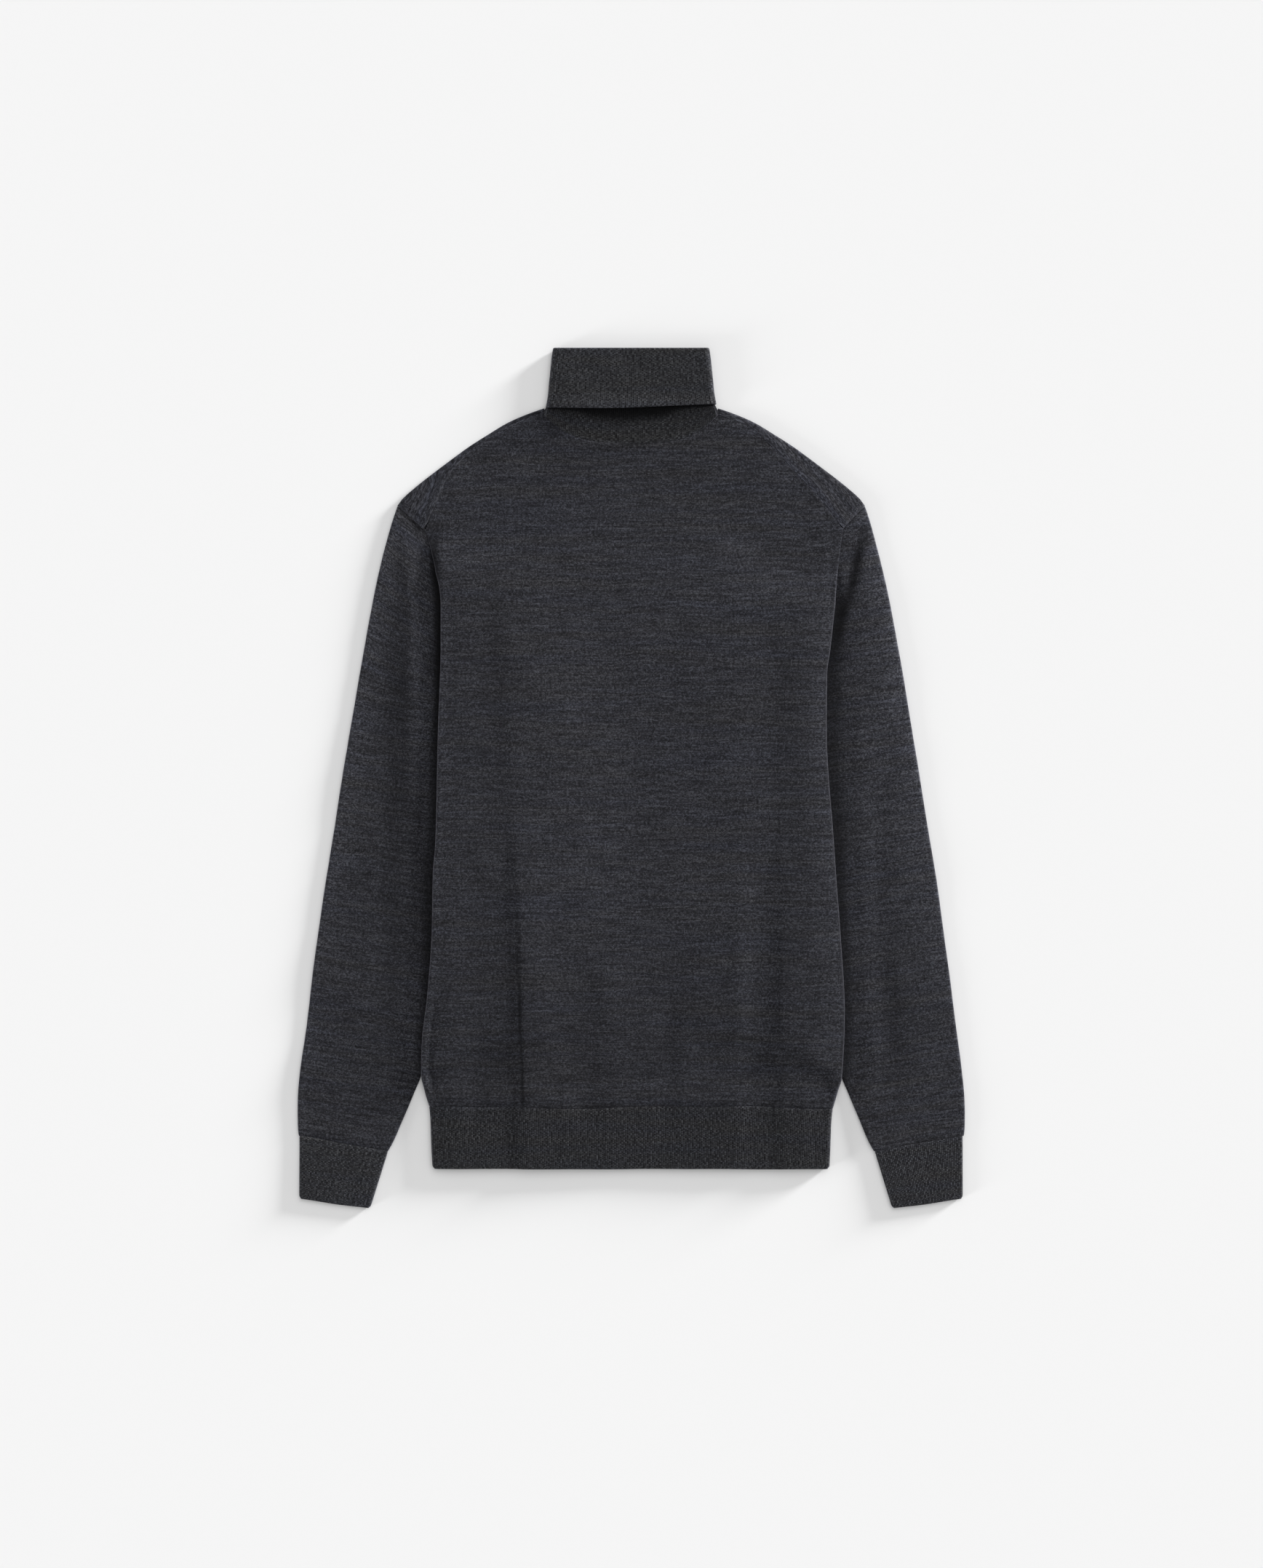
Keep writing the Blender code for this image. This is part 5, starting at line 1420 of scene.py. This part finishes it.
class SWEATER_OT_hems(bpy.types.Operator):
    """Knit the hem rib of the front and of the back"""
    bl_idname = "sweater.hems"
    bl_label = "Hem Ribs"
    bl_options = {"REGISTER", "UNDO"}

    def execute(self, context):
        sizes = context.scene.sweater_sizes
        for panel, height, above in (("front", front_height, 1.0), ("back", back_height, 0.0)):
            lay_hem(panel, height, above, materials()[1], sizes.rib / MM, sizes.rib_depth / MM)
        return {"FINISHED"}


class SWEATER_OT_sleeves(bpy.types.Operator):
    """Lay both sleeves beside the body and partly beneath it"""
    bl_idname = "sweater.sleeves"
    bl_label = "Sleeves"
    bl_options = {"REGISTER", "UNDO"}

    def execute(self, context):
        for side in (LEFT, RIGHT):
            lay_sleeve(side, materials()[0], context.scene.sweater_sizes.jersey / MM)
        return {"FINISHED"}


class SWEATER_OT_cuffs(bpy.types.Operator):
    """Knit both cuffs on to the sleeves"""
    bl_idname = "sweater.cuffs"
    bl_label = "Cuffs"
    bl_options = {"REGISTER", "UNDO"}

    def execute(self, context):
        sizes = context.scene.sweater_sizes
        for side in (LEFT, RIGHT):
            lay_cuff(side, materials()[1], sizes.rib / MM, sizes.rib_depth / MM)
        return {"FINISHED"}


class SWEATER_OT_collar(bpy.types.Operator):
    """Raise the ribbed collar from the neckline and turn it down on itself"""
    bl_idname = "sweater.collar"
    bl_label = "Collar"
    bl_options = {"REGISTER", "UNDO"}

    def execute(self, context):
        sizes = context.scene.sweater_sizes
        lay_collar(materials()[1], sizes.rib / MM, sizes.rib_depth / MM)
        return {"FINISHED"}


class SWEATER_OT_stage(bpy.types.Operator):
    """Set up the pale table, the soft light and the camera straight above"""
    bl_idname = "sweater.stage"
    bl_label = "Table, Light and Camera"
    bl_options = {"REGISTER", "UNDO"}

    def execute(self, context):
        set_stage(context.scene)
        return {"FINISHED"}


class SWEATER_PT_panel(bpy.types.Panel):
    """The sweater's sizes, its yarn, and a button for each group of pieces"""
    bl_idname = "SWEATER_PT_panel"
    bl_label = "Turtleneck Sweater"
    bl_space_type = "VIEW_3D"
    bl_region_type = "UI"
    bl_category = "Sweater"

    def draw(self, context):
        layout = self.layout
        for group in (context.scene.sweater_sizes, context.scene.sweater_yarn):
            column = layout.column(align=True)
            for name in group.__annotations__:
                column.prop(group, name)
        for operator in OPERATORS:
            layout.operator(operator.bl_idname)


# --- Table, light and camera -----------------------------------------------------------------------

TABLE_HALF = 6.0                   # metres from the table's middle to its edge
CAMERA_HEIGHT = 3.5                # metres above the table
FIELD_HEIGHT = 1.4367              # metres of the table from the picture's top to its bottom
CAMERA_PLACE = (0.00033, -0.0053)  # what the camera is straight above, in metres
SKY_STRENGTH = 0.44
# The lights: name, bearing (0 from +X, 90 from +Y), height above the table, strength, and the angle that each
# one fills in the sky. All angles are in degrees.
SUNS = (
    ("key_light", 60, 60, 0.9, 60),
    ("low_light", 34, 7, 7, 11),
    ("fill_light", 205, 9, 1.7, 14),
)


def sun(scene, name, azimuth, elevation, strength, angle):
    """A broad soft light that shines from far away."""
    lamp = bpy.data.lights.new(name, "SUN")
    lamp.energy = strength
    lamp.angle = math.radians(angle)
    item = bpy.data.objects.new(name, lamp)
    a, e = math.radians(azimuth), math.radians(elevation)
    toward = Vector((math.cos(a) * math.cos(e), math.sin(a) * math.cos(e), math.sin(e)))
    item.rotation_euler = toward.to_track_quat("Z", "Y").to_euler()
    scene.collection.objects.link(item)


def set_stage(scene):
    """The table, the light all round it, three lights and the camera."""
    mesh = bpy.data.meshes.new("table")
    shape = bmesh.new()
    bmesh.ops.create_grid(shape, x_segments=1, y_segments=1, size=TABLE_HALF)
    shape.to_mesh(mesh)
    shape.free()
    table = bpy.data.objects.new("table", mesh)
    scene.collection.objects.link(table)
    # Matt laminate: even, near white, with no gloss.
    laminate = bpy.data.materials.new("matt_white_laminate")
    laminate.use_nodes = True
    shader = laminate.node_tree.nodes["Principled BSDF"]
    for socket, value in (("Base Color", (*linear("#f1f1f1"), 1.0)), ("Roughness", 0.9),
                          ("Specular IOR Level", 0.0)):
        shader.inputs[socket].default_value = value
    mesh.materials.append(laminate)

    world = bpy.data.worlds.new("soft_box")
    world.use_nodes = True
    sky = world.node_tree.nodes["Background"]
    sky.inputs["Color"].default_value = (1.0, 1.0, 1.0, 1.0)
    sky.inputs["Strength"].default_value = SKY_STRENGTH
    scene.world = world
    for light in SUNS:
        sun(scene, *light)

    lens = bpy.data.cameras.new("camera")
    lens.sensor_fit = "VERTICAL"
    lens.angle = 2.0 * math.atan(FIELD_HEIGHT / 2.0 / CAMERA_HEIGHT)
    camera = bpy.data.objects.new("camera", lens)
    camera.location = (*CAMERA_PLACE, CAMERA_HEIGHT)
    scene.collection.objects.link(camera)
    scene.camera = camera
    scene.view_settings.view_transform = "Standard"
    scene.view_settings.look = "None"


# --- Registration ----------------------------------------------------------------------------------

OPERATORS = (
    SWEATER_OT_front,
    SWEATER_OT_back,
    SWEATER_OT_hems,
    SWEATER_OT_sleeves,
    SWEATER_OT_cuffs,
    SWEATER_OT_collar,
    SWEATER_OT_stage,
)
CLASSES = (SweaterSizes, SweaterYarn, *OPERATORS, SWEATER_PT_panel)


def register():
    for item in CLASSES:
        bpy.utils.register_class(item)
    bpy.types.Scene.sweater_sizes = bpy.props.PointerProperty(type=SweaterSizes)
    bpy.types.Scene.sweater_yarn = bpy.props.PointerProperty(type=SweaterYarn)


def unregister():
    del bpy.types.Scene.sweater_yarn
    del bpy.types.Scene.sweater_sizes
    for item in reversed(CLASSES):
        bpy.utils.unregister_class(item)


def main():
    register()
    bpy.ops.sweater.front()
    bpy.ops.sweater.back()
    bpy.ops.sweater.hems()
    bpy.ops.sweater.sleeves()
    bpy.ops.sweater.cuffs()
    bpy.ops.sweater.collar()
    bpy.ops.sweater.stage()
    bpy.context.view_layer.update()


if __name__ == "__main__":
    main()
